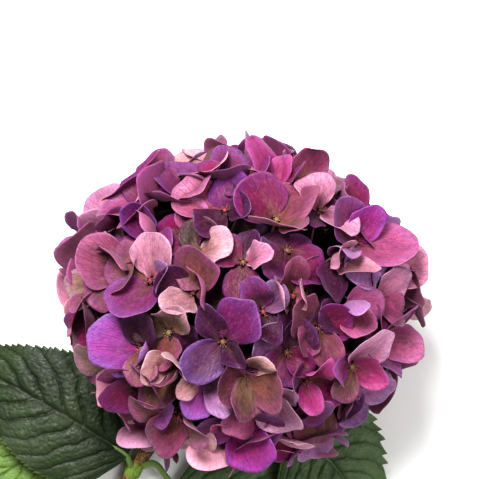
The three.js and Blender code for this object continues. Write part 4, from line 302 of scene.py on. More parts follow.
def sepal_shape(u, v):
    """Rest shape of every sepal about its own base, on a grid: u from base to rim, v across as a fan."""
    psi = v * PSI
    uu, pp = np.meshgrid(u, psi, indexing="ij")
    uu, pp = uu[None], pp[None]
    g = lambda x: x[:, None, None]
    rim = np.cos(pp) ** 0.72
    # a faint point at the tip, uneven sides, a wavy rim
    rim = rim * (1 + 0.09 * (g(r_[:, 6]) - 0.30) * np.cos(8 * pp) + 0.035 * np.cos(6 * pp + 6.28 * g(r_[:, 9]))
                 + (0.02 + 0.15 * g(r_[:, 0]) ** 1.5) * np.exp(-(pp / 0.24) ** 2)
                 + 0.16 * (g(r_[:, 1]) - 0.5) * np.sin(pp * 1.6)
                 + 0.045 * np.sin(pp * 4.0 + 6.28 * g(r_[:, 2])) + 0.022 * np.sin(pp * 9.0 + 6.28 * g(r_[:, 3])))
    r = uu * rim * g(L)
    x0 = r * np.cos(pp)
    y0 = r * np.sin(pp) * g(W / (1.1 * L))
    s = x0 / g(L)
    # bend along the length: lift near the base, curl towards the tip
    m = 24
    st = (np.arange(m) + 0.5) / m
    th = LIFT[:, None] * (1 - np.exp(-5 * st))[None] + CURL[:, None] * 2.2 * (st[None] - 0.35).clip(0) ** 1.1 * 1.6
    cx = np.concatenate([np.zeros((S, 1)), np.cumsum(np.cos(th), 1) / m], 1)
    cz = np.concatenate([np.zeros((S, 1)), np.cumsum(np.sin(th), 1) / m], 1)
    tx = np.concatenate([th[:, :1], th], 1)
    q = np.clip(s, 0, 1) * m
    i0 = np.minimum(q.astype(int), m - 1)
    fr = q - i0
    rows = np.arange(S)[:, None, None]
    X = (cx[rows, i0] * (1 - fr) + cx[rows, i0 + 1] * fr) * g(L)
    Z = (cz[rows, i0] * (1 - fr) + cz[rows, i0 + 1] * fr) * g(L)
    TH = tx[rows, i0] * (1 - fr) + tx[rows, i0 + 1] * fr
    phi = y0 / g(W / 2)
    lim = g(W / 2)
    zc = lim * np.sin(g(CUP)) * 0.75 * phi ** 2 * (0.35 + 0.65 * s)
    y = y0 * (1 - 0.30 * (1 - np.cos(g(CUP) * 1.3)))
    ruf = g(0.8 + 2.6 * r_[:, 4] ** 1.5)
    zc = zc + ruf * np.sin(pp * 2.3 + 6.28 * g(r_[:, 5])) * s ** 1.6 + 0.50 * ruf * np.sin(pp * 5.3 + 6.28 * g(r_[:, 6])) * uu ** 3
    zc = zc - (0.5 + g(r_[:, 7])) * np.exp(-(phi / 0.25) ** 2) * s * (1 - s) * 1.6   # midrib crease
    # one half rolled back now and then
    roll = g(np.where(r_[:, 8] > 0.55, 7.0 * (r_[:, 3] - 0.30), 0.0))
    zc = zc + roll * np.clip(phi * g(np.where(r_[:, 2] > 0.5, 1.0, -1.0)), 0, 1.2) ** 2.6 * s
    tipc = g(np.where(r_[:, 5] > 0.6, 9.0 * (r_[:, 1] - 0.45), 0.0))
    zc = zc + tipc * np.clip((s - 0.55) / 0.45, 0, 1) ** 2
    tw = g((r_[:, 10] - 0.5) * 0.9)
    zc = zc + tw * y * s
    d, n, t = DIR[:, None, None], NRM[:, None, None], TAN[:, None, None]
    mx = -np.sin(TH)[..., None] * d + np.cos(TH)[..., None] * n
    return X[..., None] * d + y[..., None] * t + Z[..., None] * n + zc[..., None] * mx


REST = sepal_shape(U_, V_)
LEVEL = A("level")
BASE = EYE + DIR * 0.9 + NRM * (-0.6 + 0.35 * LEVEL)[:, None]
N1 = NU * NV
SID = np.repeat(np.arange(S), N1)
UIX = np.tile(np.repeat(np.arange(NU), NV), S)


def near_pairs(X, d):
    lo = X.min(0) - d
    q = np.floor((X - lo) / d).astype(np.int64) + 1
    dy, dz = int(q[:, 1].max()) + 3, int(q[:, 2].max()) + 3
    key = (q[:, 0] * dy + q[:, 1]) * dz + q[:, 2]
    order = np.argsort(key, kind="stable")
    ks = key[order]
    n = len(ks)
    I, J = [], []
    for ox in (0, 1):
        for oy in (-1, 0, 1):
            for oz in (-1, 0, 1):
                if (ox, oy, oz) < (0, 0, 0):
                    continue
                off = (ox * dy + oy) * dz + oz
                if off == 0:
                    a = np.arange(n) + 1
                else:
                    a = np.searchsorted(ks, ks + off, "left")
                b = np.searchsorted(ks, ks + off, "right")
                c = np.maximum(b - a, 0)
                tot = int(c.sum())
                if not tot:
                    continue
                i = np.repeat(np.arange(n), c)
                j = np.repeat(a, c) + np.arange(tot) - np.repeat(np.cumsum(c) - c, c)
                I.append(order[i])
                J.append(order[j])
    I, J = np.concatenate(I), np.concatenate(J)
    ok = SID[I] != SID[J]
    I, J = I[ok], J[ok]
    same = FID[SID[I]] == FID[SID[J]]
    ok = ~(same & ((UIX[I] < 3) | (UIX[J] < 3)))
    I, J = I[ok], J[ok]
    v = X[I] - X[J]
    r = np.sqrt((v * v).sum(1))
    ok = (r < d) & (r > 1e-6)
    return I[ok], J[ok], v[ok], r[ok]


def grow(steps, settle, gap):
    """Sepals open from buds to full size; where two come closer than gap they push each other aside."""
    D = np.zeros((S, NU, NV, 3))
    pin = np.clip(np.arange(NU) / 3.0, 0, 1)[None, :, None, None]
    for it in range(steps + settle):
        s = 0.34 + 0.66 * min(1.0, (it + 1) / steps)
        T = BASE[:, None, None] + REST * s
        P = (T + D).reshape(-1, 3)
        I, J, v, r = near_pairs(P, gap * s)
        w = 0.5 * (gap * s - r) / r
        c = v * w[:, None]
        push = np.zeros_like(P)
        for ax in range(3):
            push[:, ax] = np.bincount(I, c[:, ax], len(P)) - np.bincount(J, c[:, ax], len(P))
        cnt = np.bincount(I, minlength=len(P)) + np.bincount(J, minlength=len(P))
        push /= np.maximum(cnt, 1)[:, None] ** 0.6
        D = D + push.reshape(D.shape) * 0.9
        # the sheet carries a push to its neighbours
        for _ in range(2):
            e = np.pad(D, ((0, 0), (1, 1), (1, 1), (0, 0)), mode="edge")
            avg = (e[:, 2:, 1:-1] + e[:, :-2, 1:-1] + e[:, 1:-1, 2:] + e[:, 1:-1, :-2]) / 4
            D = D + 0.42 * (avg - D)
        D = D * pin * 0.985
        m = np.linalg.norm(D, axis=-1, keepdims=True)
        D = D * np.minimum(1, 10.0 / np.maximum(m, 1e-9))
        # lying on the table
        z = (T + D)[..., 2]
        D[..., 2] += np.maximum(0, 0.7 - z)
        # keep the sheets' own lengths
        P4 = T + D
        for _ in range(2):
            for ax in (1, 2):
                sl = [slice(None)] * 3
                a, b = list(sl), list(sl)
                a[ax], b[ax] = slice(0, -1), slice(1, None)
                a, b = tuple(a), tuple(b)
                e = P4[b] - P4[a]
                l = np.linalg.norm(e, axis=-1, keepdims=True)
                l0 = np.linalg.norm(REST[b] - REST[a], axis=-1, keepdims=True) * s
                cc = e * (0.5 * 0.5 * (1 - l0 / np.maximum(l, 1e-6)))
                if ax == 1:
                    wa = np.ones(NU - 1)
                    wa[0] = 0
                    wb = np.ones(NU - 1)
                    P4[a] += cc * wa[None, :, None, None]
                    P4[b] -= cc * wb[None, :, None, None]
                else:
                    P4[a] += cc
                    P4[b] -= cc
        D = P4 - T
    return BASE[:, None, None] + REST + D


GROWN = grow(36, 20, 3.0)


def catmull(n_from, n_to, a=0.0, b=1.0):
    """Matrix that reads a smooth curve through n_from even samples at n_to places."""
    t = np.linspace(a, b, n_to) * (n_from - 1)
    M = np.zeros((n_to, n_from))
    for r, x in enumerate(t):
        i = min(int(math.floor(x)), n_from - 2)
        f = x - i
        w = [(-f + 2 * f * f - f ** 3) / 2, (2 - 5 * f * f + 3 * f ** 3) / 2, (f + 4 * f * f - 3 * f ** 3) / 2, (-f * f + f ** 3) / 2]
        for k in range(4):
            j = i - 1 + k
            if j < 0:
                M[r, 0] += 2 * w[k]
                M[r, 1] -= w[k]
            elif j > n_from - 1:
                M[r, n_from - 1] += 2 * w[k]
                M[r, n_from - 2] -= w[k]
            else:
                M[r, j] += w[k]
    return M


# ------------------------------------------------------------------ mesh helpers (mm in, metres out)
def make(name, verts, faces, material, attrs=None, smooth=True):
    """One closed mesh. faces: arrays of quads or triangles. attrs: name -> (type, array)."""
    me = bpy.data.meshes.new(name)
    co = (np.asarray(verts, float) + SHIFT) * 0.001
    co[:, 2] = np.maximum(co[:, 2], 0.0001)
    me.vertices.add(len(co))
    me.vertices.foreach_set("co", co.astype(np.float32).ravel())
    idx = np.concatenate([np.asarray(f, np.int32).ravel() for f in faces])
    tot = np.concatenate([np.full(len(f), f.shape[1], np.int32) for f in faces])
    me.loops.add(len(idx))
    me.loops.foreach_set("vertex_index", idx)
    me.polygons.add(len(tot))
    me.polygons.foreach_set("loop_start", (np.cumsum(tot) - tot).astype(np.int32))
    me.update(calc_edges=True)
    me.validate()
    if smooth:
        me.polygons.foreach_set("use_smooth", np.ones(len(me.polygons), bool))
    for key, (kind, data) in (attrs or {}).items():
        a = me.attributes.new(key, kind, "POINT")
        field = {"FLOAT": "value", "FLOAT_COLOR": "color", "FLOAT_VECTOR": "vector"}[kind]
        a.data.foreach_set(field, np.asarray(data, np.float32).ravel())
    me.materials.append(material)
    o = bpy.data.objects.new(name, me)
    bpy.context.scene.collection.objects.link(o)
    return o


class Parts:
    """Collects closed shells that go into one mesh."""

    def __init__(self):
        self.v, self.q, self.t, self.a, self.n = [], [], [], {}, 0

    def add(self, v, quads=None, tris=None, **attrs):
        v = np.asarray(v, float)
        self.v.append(v)
        if quads is not None and len(quads):
            self.q.append(np.asarray(quads) + self.n)
        if tris is not None and len(tris):
            self.t.append(np.asarray(tris) + self.n)
        for k, x in attrs.items():
            x = np.asarray(x, float)
            if x.ndim == 0 or (x.ndim == 1 and len(x) in (3, 4) and len(v) != len(x)):
                x = np.broadcast_to(x, (len(v),) + x.shape)
            self.a.setdefault(k, []).append(x)
        self.n += len(v)

    def build(self, name, material, kinds):
        faces = []
        if self.q:
            faces.append(np.concatenate(self.q))
        if self.t:
            faces.append(np.concatenate(self.t))
        attrs = {k: (kinds[k], np.concatenate(x)) for k, x in self.a.items()}
        return make(name, np.concatenate(self.v), faces, material, attrs)


def tube(path, radii, sides=10, bump=None):
    """Closed tapered tube. Returns verts, quads, tris, and how far along the tube (0-1) each vertex lies."""
    path = np.asarray(path, float)
    radii = np.asarray(radii, float)
    n = len(path)
    tan = np.gradient(path, axis=0)
    tan /= np.linalg.norm(tan, axis=1, keepdims=True)
    ref = np.array([0, 0, 1.0]) if abs(tan[0, 2]) < 0.9 else np.array([1.0, 0, 0])
    rings = []
    ang = np.arange(sides) * 2 * math.pi / sides
    for i in range(n):
        e1 = unit(ref - tan[i] * (ref @ tan[i]))
        ref = e1
        e2 = np.cross(tan[i], e1)
        r = radii[i] * (np.ones(sides) if bump is None else bump(i / (n - 1), ang))
        rings.append(path[i] + (np.cos(ang) * r)[:, None] * e1 + (np.sin(ang) * r)[:, None] * e2)
    v = np.concatenate(rings + [path[:1] - tan[:1] * radii[0] * 0.35, path[-1:] + tan[-1:] * radii[-1] * 0.35])
    i, k = np.meshgrid(np.arange(n - 1), np.arange(sides), indexing="ij")
    a = (i * sides + k).ravel()
    b = (i * sides + (k + 1) % sides).ravel()
    q = np.stack([a, b, b + sides, a + sides], 1)
    k = np.arange(sides)
    s, e = n * sides, n * sides + 1
    t = np.concatenate([np.stack([np.full(sides, s), (k + 1) % sides, k], 1),
                        np.stack([np.full(sides, e), (n - 1) * sides + k, (n - 1) * sides + (k + 1) % sides], 1)])
    al = np.concatenate([np.repeat(np.linspace(0, 1, n), sides), [0, 1]])
    return v, q, t, al


def ball(c, r, n, squash=1.0, rows=6, cols=9):
    """Closed ball about c, squashed along n."""
    e1, e2 = tangent_frame(n)
    th = np.linspace(0, math.pi, rows + 1)[1:-1]
    ph = np.arange(cols) * 2 * math.pi / cols
    v = [(math.sin(a) * (math.cos(p) * e1 + math.sin(p) * e2) + math.cos(a) * squash * n) * r + c for a in th for p in ph]
    v += [c + n * r * squash, c - n * r * squash]
    m = len(th)
    i, k = np.meshgrid(np.arange(m - 1), np.arange(cols), indexing="ij")
    a = (i * cols + k).ravel()
    b = (i * cols + (k + 1) % cols).ravel()
    q = np.stack([b, a, a + cols, b + cols], 1)
    k = np.arange(cols)
    top, bot = m * cols, m * cols + 1
    t = np.concatenate([np.stack([np.full(cols, top), k, (k + 1) % cols], 1),
                        np.stack([np.full(cols, bot), (m - 1) * cols + (k + 1) % cols, (m - 1) * cols + k], 1)])
    return np.array(v), q, t


def bezier(p, n):
    p = [np.asarray(x, float) for x in p]
    t = np.linspace(0, 1, n)[:, None]
    return (1 - t) ** 3 * p[0] + 3 * (1 - t) ** 2 * t * p[1] + 3 * (1 - t) * t ** 2 * p[2] + t ** 3 * p[3]


def leafshell(mid, nrm, thick):
    """Closed thin shell about a grid of points mid (nu, nv, 3). Returns verts, quads, side (0 top, 1 under)."""
    nu, nv = mid.shape[:2]
    top = mid + nrm * thick[..., None] * 0.5
    bot = mid - nrm * thick[..., None] * 0.5
    v = np.concatenate([top.reshape(-1, 3), bot.reshape(-1, 3)])
    m = nu * nv
    i, j = np.meshgrid(np.arange(nu - 1), np.arange(nv - 1), indexing="ij")
    a = (i * nv + j).ravel()
    q1 = np.stack([a, a + nv, a + nv + 1, a + 1], 1)
    q2 = q1[:, ::-1] + m
    loop = np.concatenate([np.arange(nv), np.arange(1, nu) * nv + nv - 1, (nu - 1) * nv + np.arange(nv - 2, -1, -1),
                           np.arange(nu - 2, 0, -1) * nv])
    nxt = np.roll(loop, -1)
    q3 = np.stack([loop, nxt, nxt + m, loop + m], 1)
    return v, np.concatenate([q1, q2, q3]), np.concatenate([np.zeros(m), np.ones(m)])


def grid_normals(g):
    du = np.gradient(g, axis=-3)
    dv = np.gradient(g, axis=-2)
    n = np.cross(du, dv)
    return n / np.maximum(np.linalg.norm(n, axis=-1, keepdims=True), 1e-9)


# ------------------------------------------------------------------ materials
def nodes_of(name):
    m = bpy.data.materials.new(name)
    m.use_nodes = True
    nt = m.node_tree
    nt.nodes.clear()
    return m, nt


class Graph:
    def __init__(self, name):
        self.mat, self.nt = nodes_of(name)

    def node(self, kind, **props):
        n = self.nt.nodes.new(kind)
        for k, v in props.items():
            setattr(n, k, v)
        return n

    def put(self, socket, x):
        if isinstance(x, bpy.types.NodeSocket):
            self.nt.links.new(x, socket)
        elif x is not None:
            if hasattr(x, "__len__") and socket.type == "RGBA" and len(x) == 3:
                x = (*x, 1.0)
            socket.default_value = x

    def math(self, op, a, b=None, c=None, clamp=False):
        n = self.node("ShaderNodeMath", operation=op, use_clamp=clamp)
        for i, x in enumerate((a, b, c)):
            self.put(n.inputs[i], x)
        return n.outputs[0]

    def ramp(self, x, lo, hi, a=0.0, b=1.0):
        n = self.node("ShaderNodeMapRange", interpolation_type="SMOOTHSTEP")
        for k, v in (("Value", x), ("From Min", lo), ("From Max", hi), ("To Min", a), ("To Max", b)):
            self.put(n.inputs[k], v)
        return n.outputs["Result"]

    def mix(self, f, a, b, blend="MIX"):
        n = self.node("ShaderNodeMix", data_type="RGBA", blend_type=blend)
        self.put(n.inputs[0], f)
        self.put(n.inputs[6], a)
        self.put(n.inputs[7], b)
        return n.outputs[2]

    def attr(self, name, out="Fac"):
        n = self.node("ShaderNodeAttribute", attribute_type="GEOMETRY", attribute_name=name)
        return n.outputs[out]

    def noise(self, vec, scale, detail=3.0, rough=0.55):
        n = self.node("ShaderNodeTexNoise")
        self.put(n.inputs["Vector"], vec)
        self.put(n.inputs["Scale"], scale)
        self.put(n.inputs["Detail"], detail)
        self.put(n.inputs["Roughness"], rough)
        return n.outputs[0]

    def xyz(self, x, y, z):
        n = self.node("ShaderNodeCombineXYZ")
        for i, v in enumerate((x, y, z)):
            self.put(n.inputs[i], v)
        return n.outputs[0]

    def edges(self, vec, scale, randomness=1.0):
        n = self.node("ShaderNodeTexVoronoi", feature="DISTANCE_TO_EDGE")
        self.put(n.inputs["Vector"], vec)
        self.put(n.inputs["Scale"], scale)
        self.put(n.inputs["Randomness"], randomness)
        return n.outputs["Distance"]

    def coords(self):
        return self.node("ShaderNodeTexCoord").outputs["Object"]

    def bump(self, height, strength, distance):
        n = self.node("ShaderNodeBump")
        self.put(n.inputs["Strength"], strength)
        self.put(n.inputs["Distance"], distance)
        self.put(n.inputs["Height"], height)
        return n.outputs[0]

    def surface(self, color, rough, normal=None, translucent=0.0, tcolor=None, **consts):
        b = self.node("ShaderNodeBsdfPrincipled")
        self.put(b.inputs["Base Color"], color)
        self.put(b.inputs["Roughness"], rough)
        if normal is not None:
            self.put(b.inputs["Normal"], normal)
        for k, v in consts.items():
            b.inputs[k.replace("_", " ")].default_value = v
        out = self.node("ShaderNodeOutputMaterial")
        shader = b.outputs[0]
        if translucent:
            t = self.node("ShaderNodeBsdfTranslucent")
            self.put(t.inputs["Color"], tcolor if tcolor is not None else color)
            if normal is not None:
                self.put(t.inputs["Normal"], normal)
            m = self.node("ShaderNodeMixShader")
            m.inputs[0].default_value = translucent
            self.nt.links.new(b.outputs[0], m.inputs[1])
            self.nt.links.new(t.outputs[0], m.inputs[2])
            shader = m.outputs[0]
        self.nt.links.new(shader, out.inputs["Surface"])
        return self.mat


def sepal_material(name, rough):
    g = Graph(name)
    pos = g.node("ShaderNodeSeparateXYZ")
    g.put(pos.inputs[0], g.attr("leafpos", "Vector"))
    u, p, r = pos.outputs[0], pos.outputs[1], pos.outputs[2]
    blade, rim, throat = g.attr("colA", "Color"), g.attr("colB", "Color"), g.attr("colC", "Color")
    side, flush = g.attr("side"), g.attr("flush")
    rz = g.math("MULTIPLY", r, 41.0)
    fan = g.xyz(g.math("MULTIPLY", g.math("MULTIPLY", p, u), 1.5), u, rz)
    n1 = g.noise(fan, 1.7, 3.0)
    n2 = g.noise(fan, 4.5, 4.0)
    n3 = g.noise(g.coords(), 1400.0, 2.0)
    # throat to blade, spreading further on the flushed ones
    reach = g.math("ADD", g.math("MULTIPLY", flush, 0.55), 0.36)
    uu = g.math("ADD", u, g.math("MULTIPLY", g.math("SUBTRACT", n1, 0.5), 0.55))
    col = g.mix(g.ramp(uu, 0.06, reach), throat, blade)
    # patches where the rim's colour runs in
    rimf = g.math("MULTIPLY", g.ramp(g.math("ADD", u, g.math("MULTIPLY", g.math("SUBTRACT", n2, 0.5), 0.5)), 0.62, 1.02), 0.85)
    col = g.mix(rimf, col, rim)
    # dusty olive where the sepal is older
    n4 = g.noise(g.xyz(g.math("MULTIPLY", p, 0.9), u, g.math("ADD", rz, 9.0)), 2.2, 3.0)
    old = g.math("MULTIPLY", g.ramp(g.math("ADD", n4, g.math("MULTIPLY", g.math("SUBTRACT", 0.6, u), 0.35)), 0.50, 0.72), g.math("ADD", g.math("MULTIPLY", flush, 0.5), 0.30))
    col = g.mix(old, col, g.mix(0.35, lin((126, 104, 78)), col))
    # darker and lighter clouds
    col = g.mix(g.ramp(n2, 0.38, 0.66, 0.0, 0.46), col, g.mix(1.0, col, (0.46, 0.38, 0.52), "MULTIPLY"))
    col = g.mix(g.ramp(n1, 0.55, 0.75, 0.0, 0.30), col, g.mix(0.5, col, rim))
    # mottling, fine and cool or fine and warm
    n5 = g.noise(g.xyz(g.math("MULTIPLY", p, g.math("ADD", g.math("MULTIPLY", u, 7.0), 2.0)), g.math("MULTIPLY", u, 6.0), rz), 2.4, 4.0, 0.6)
    col = g.mix(g.ramp(n5, 0.46, 0.64, 0.0, 0.30), col, g.mix(1.0, col, (0.50, 0.46, 0.68), "MULTIPLY"))
    col = g.mix(g.ramp(n5, 0.34, 0.50, 0.20, 0.0), col, g.mix(0.5, col, (0.62, 0.28, 0.36)))
    # veins: ribs that fan out from the base, and a net between them
    bend = g.math("MULTIPLY", g.math("SUBTRACT", g.noise(fan, 3.0, 2.0), 0.5), 0.5)
    w = g.math("ADD", g.math("MULTIPLY", p, 4.4), g.math("ADD", bend, 0.5))
    d1 = g.math("ABSOLUTE", g.math("SUBTRACT", g.math("FRACT", w), 0.5))
    rib = g.math("MULTIPLY", g.ramp(d1, 0.0, 0.085, 1.0, 0.0), g.ramp(u, 0.92, 0.4, 0.15, 1.0))
    w2 = g.math("ADD", g.math("MULTIPLY", p, 8.8), g.math("ADD", bend, 0.0))
    d2 = g.math("ABSOLUTE", g.math("SUBTRACT", g.math("FRACT", w2), 0.5))
    rib2 = g.math("MULTIPLY", g.ramp(d2, 0.0, 0.10, 0.7, 0.0), g.ramp(u, 0.35, 0.6))
    net = g.ramp(g.edges(g.xyz(g.math("MULTIPLY", p, 2.3), g.math("MULTIPLY", u, 1.5), rz), 5.5), 0.0, 0.07, 0.55, 0.0)
    vein = g.math("MAXIMUM", g.math("MAXIMUM", rib, rib2), net)
    col = g.mix(g.math("MULTIPLY", vein, 0.66), col, g.mix(1.0, col, (0.48, 0.22, 0.36), "MULTIPLY"))
    # grain, then the paler underside and a thin pale edge
    col = g.mix(g.ramp(n3, 0.35, 0.65, 0.0, 0.25), col, g.mix(1.0, col, (0.60, 0.50, 0.58), "MULTIPLY"))
    pale = g.mix(0.5, col, g.mix(0.5, rim, (0.62, 0.34, 0.46)))
    col = g.mix(g.math("MULTIPLY", side, 0.62), col, pale)
    col = g.mix(g.math("MULTIPLY", g.ramp(u, 0.95, 0.99), g.ramp(n2, 0.45, 0.6, 0.0, 0.28)), col, g.mix(0.5, rim, (0.70, 0.50, 0.58)))
    h = g.math("SUBTRACT", g.math("MULTIPLY", n2, 0.5), g.math("MULTIPLY", vein, 0.8))
    deep = g.mix(1.0, col, (1.0, 0.62, 0.80), "MULTIPLY")
    rgh = g.ramp(n2, 0.3, 0.7, rough - 0.05, rough + 0.08)
    return g.surface(col, rgh, g.bump(h, 0.35, 0.0005), 0.24, deep, Specular_IOR_Level=0.32, Sheen_Weight=0.12, Sheen_Roughness=0.45)


def green_material(name, dark, light, pink, spots=0.0, rough=0.5, scale=160.0):
    g = Graph(name)
    c = g.coords()
    n1 = g.noise(c, scale, 4.0)
    n2 = g.noise(c, scale * 6, 3.0)
    tint = g.attr("tint", "Color")
    col = g.mix(g.ramp(n1, 0.3, 0.7), dark, light)
    col = g.mix(g.math("MULTIPLY", g.ramp(n1, 0.45, 0.62), 0.5), col, pink)
    col = g.mix(g.attr("tintf"), col, tint)
    col = g.mix(g.ramp(n2, 0.40, 0.62, 0.0, 0.35), col, g.mix(1.0, col, (0.55, 0.5, 0.45), "MULTIPLY"))
    return g.surface(col, rough, g.bump(n2, 0.4, 0.0004), Specular_IOR_Level=0.35)


# ------------------------------------------------------------------ the head: one sepal piece and one stalk piece to a cymule
SEPAL_MATS = {s: sepal_material(s, r) for s, r in (("sepals_pale", 0.55), ("sepals_rose", 0.50), ("sepals_violet", 0.46))}
STALK_MAT = green_material("cyme_green", lin((74, 74, 44)), lin((112, 104, 70)), lin((120, 58, 76)))

NUF, NVF = 15, 27
MU, MV = catmull(NU, NUF), catmull(NV, NVF)
FINE = np.einsum("au,bv,suvc->sabc", MU, MV, GROWN)
FN = grid_normals(FINE)
# top side is the one that looks along the floret
flip = np.sign((FN * NRM[:, None, None]).sum(-1).mean((1, 2)))
FN = FN * flip[:, None, None, None]
uf = np.linspace(U_[0], 1, NUF)[:, None]
pf = np.linspace(-1, 1, NVF)[None, :]
# low relief: ribs sunk a little, a puckered margin
relief = np.zeros((S, NUF, NVF))
for s in range(S):
    k = r_[s]
    relief[s] = (0.10 * np.sin(pf * PSI * 9 + 6.28 * k[2]) * uf ** 2 + 0.28 * np.sin(pf * 17 + 6.28 * k[3]) * uf ** 8
                 - 0.16 * np.exp(-(pf / 0.05) ** 2) * (1 - uf) + 0.12 * np.sin(uf * 11 + pf * 7 + 6.28 * k[6]) * uf)
FINE = FINE + FN * relief[..., None]
FN = grid_normals(FINE) * flip[:, None, None, None]
FINE[..., 2] = np.maximum(FINE[..., 2], 0.35)
top_ = FINE[..., 2] > 154
FINE[..., 2] = np.where(top_, 154 + 9 * np.tanh((FINE[..., 2] - 154) / 13), FINE[..., 2])
THICK = (0.34 - 0.16 * uf ** 3 + 0.25 * np.exp(-(pf / 0.08) ** 2) * (1 - uf) ** 1.5) * np.ones((NUF, NVF))

KINDS = {"leafpos": "FLOAT_VECTOR", "colA": "FLOAT_COLOR", "colB": "FLOAT_COLOR", "colC": "FLOAT_COLOR", "side": "FLOAT",
         "flush": "FLOAT", "tint": "FLOAT_COLOR", "tintf": "FLOAT", "vein": "FLOAT"}
LP = np.concatenate([np.stack([np.broadcast_to(uf, (NUF, NVF)), np.broadcast_to(pf, (NUF, NVF)), np.zeros((NUF, NVF))], -1).reshape(-1, 3)] * 2)

groups = {}
for fi, f in enumerate(FLORETS):
    groups.setdefault(f[6], []).append(fi)
means, forks = {}, {}
for g_, members in groups.items():
    us = [unit(np.array(FLORETS[i][0:3]) - HUB) for i in members]
    means[g_] = unit(np.sum(us, 0))
    reach = np.mean([np.linalg.norm(np.array(FLORETS[i][0:3]) - HUB) for i in members])
    forks[g_] = HUB + means[g_] * max(STALK_START + 8, reach * 0.62)


def rgba(c):
    return np.array([*c, 1.0])


for g_, members in sorted(groups.items()):
    node = "cymule_%02d" % (g_ + 1)
    blades, stalks = Parts(), Parts()
    for s in range(S):
        if sep[s]["f"] not in members:
            continue
        v, q, side = leafshell(FINE[s], FN[s], THICK)
        if flip[s] < 0:
            q = q[:, ::-1]
        a, b, c = (lin(x) for x in PALETTE[sep[s]["col"]])
        k = rng.random(5)
        ex, ey = FLORETS[sep[s]["f"]][0:2]
        # random tone per sepal, times painted shade: darker by up to a quarter near the head's middle
        tone_and_painted_shade = (0.84 + 0.28 * k[0]) * (1 - 0.26 * math.exp(-((ex - 5) / 44) ** 2 - ((ey + 4) / 38) ** 2))
        # painted shade: the sepals of the small florets deeper in are darkened by a further third
        if sep[s]["f"] >= OUTER:
            tone_and_painted_shade *= 0.68
        tone = np.array([1 + 0.10 * (k[1] - 0.5), 1 + 0.12 * (k[2] - 0.5), 1 + 0.16 * (k[3] - 0.5)]) * tone_and_painted_shade
        lp = LP.copy()
        lp[:, 2] = k[4]
        blades.add(v, q, leafpos=lp, colA=rgba(np.clip(a * tone, 0, 1)), colB=rgba(np.clip(b * tone, 0, 1)), colC=rgba(np.clip(c * tone, 0, 1)),
                   side=side, flush=np.full(len(v), FLUSH.get(sep[s]["col"], 0.0)))
    m, fork = means[g_], forks[g_]
    start = HUB + m * (STALK_START - 1.6)
    e1, e2 = tangent_frame(m)
    bow = (rng.random(2) - 0.5) * 5
    path = bezier([start, start + (fork - start) * 0.33 + e1 * bow[0] + e2 * bow[1], fork - m * 6, fork], 10)
    v, q, t, al = tube(path, 1.15 + 0.12 * np.sin(np.linspace(0, 9, 10)) + 0.35 * np.linspace(0, 1, 10) ** 6, 9)
    stalks.add(v, q, t, tint=rgba(lin((150, 92, 104))), tintf=0.25 * np.ones(len(v)))
    for i in members:
        eye, n = np.array(FLORETS[i][0:3]), unit(np.array(FLORETS[i][3:6]))
        d = np.linalg.norm(eye - fork)
        tip = eye - n * 0.9
        path = bezier([fork - m * 1.2, fork + m * d * 0.30, tip - n * d * 0.28, tip], 14)
        tt = np.linspace(0, 1, 14)
        v, q, t, al = tube(path, 0.72 + 0.25 * (1 - tt) ** 6 + 0.75 * tt ** 9, 8)
        stalks.add(v, q, t, tint=rgba(lin((176, 104, 132))), tintf=0.15 + 0.45 * al)
        # the eye: a small closed bud with a few stamens
        v, q, t = ball(eye + n * 0.9, 1.55, n, 0.8)
        bud = [(126, 92, 70), (150, 60, 84), (136, 126, 84), (98, 52, 66)][rng.integers(4)]
        stalks.add(v, q, t, tint=rgba(lin(bud)), tintf=0.85 * np.ones(len(v)))
        e1, e2 = tangent_frame(n)
        for k in range(7):
            a = 2 * math.pi * (k + 0.7 * rng.random()) / 7
            out = math.cos(a) * e1 + math.sin(a) * e2
            lean = 0.35 + 0.5 * rng.random()
            ln = 1.3 + 1.3 * rng.random()
            p0 = eye + n * 1.2 + out * 0.9
            p3 = p0 + (n * (1 - 0.4 * lean) + out * lean) * ln
            v, q, t, al = tube(bezier([p0, p0 + n * ln * 0.4, p3 - n * ln * 0.2, p3], 5), np.full(5, 0.12), 5)
            stalks.add(v, q, t, tint=rgba(lin((170, 110, 112))), tintf=0.9 * np.ones(len(v)))
            v, q, t = ball(p3, 0.33, n, 0.8, 4, 6)
            stalks.add(v, q, t, tint=rgba(lin((150, 120, 82))), tintf=0.95 * np.ones(len(v)))
    slot = SLOTS[str(g_)]
    o = blades.build(node + "_sepals", SEPAL_MATS[slot], KINDS)
    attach(o, "root")
    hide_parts(node)
    o = stalks.build(node + "_stalks", STALK_MAT, KINDS)
    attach(o, "root")

# ------------------------------------------------------------------ cyme branches
order = sorted(groups)
mains = [means[order[int((k + 0.5) * len(order) / 7)]] for k in range(7)]
for _ in range(20):
    owner = {g_: int(np.argmax([m @ means[g_] for m in mains])) for g_ in order}
    new = []
    for k in range(7):
        own = [means[g_] for g_ in order if owner[g_] == k]
        new.append(unit(np.sum(own, 0)) if own else mains[k])
    mains = new
cyme = Parts()
v, q, t = ball(HUB, HUB_R * 1.02, AXIS, 1.0, 14, 22)
cyme.add(v, q, t, tint=rgba(lin((140, 140, 84))), tintf=0.2 * np.ones(len(v)))
for m in mains:
    v, q, t, al = tube([HUB + m * x for x in np.linspace(1, 13.5, 10)], 2.2 - 0.35 * np.sin(np.linspace(0, 3.1, 10)) + 0.2 * np.linspace(1, 0, 10) ** 3, 14)
    cyme.add(v, q, t, tint=rgba(lin((158, 110, 100))), tintf=0.1 + 0.25 * al)
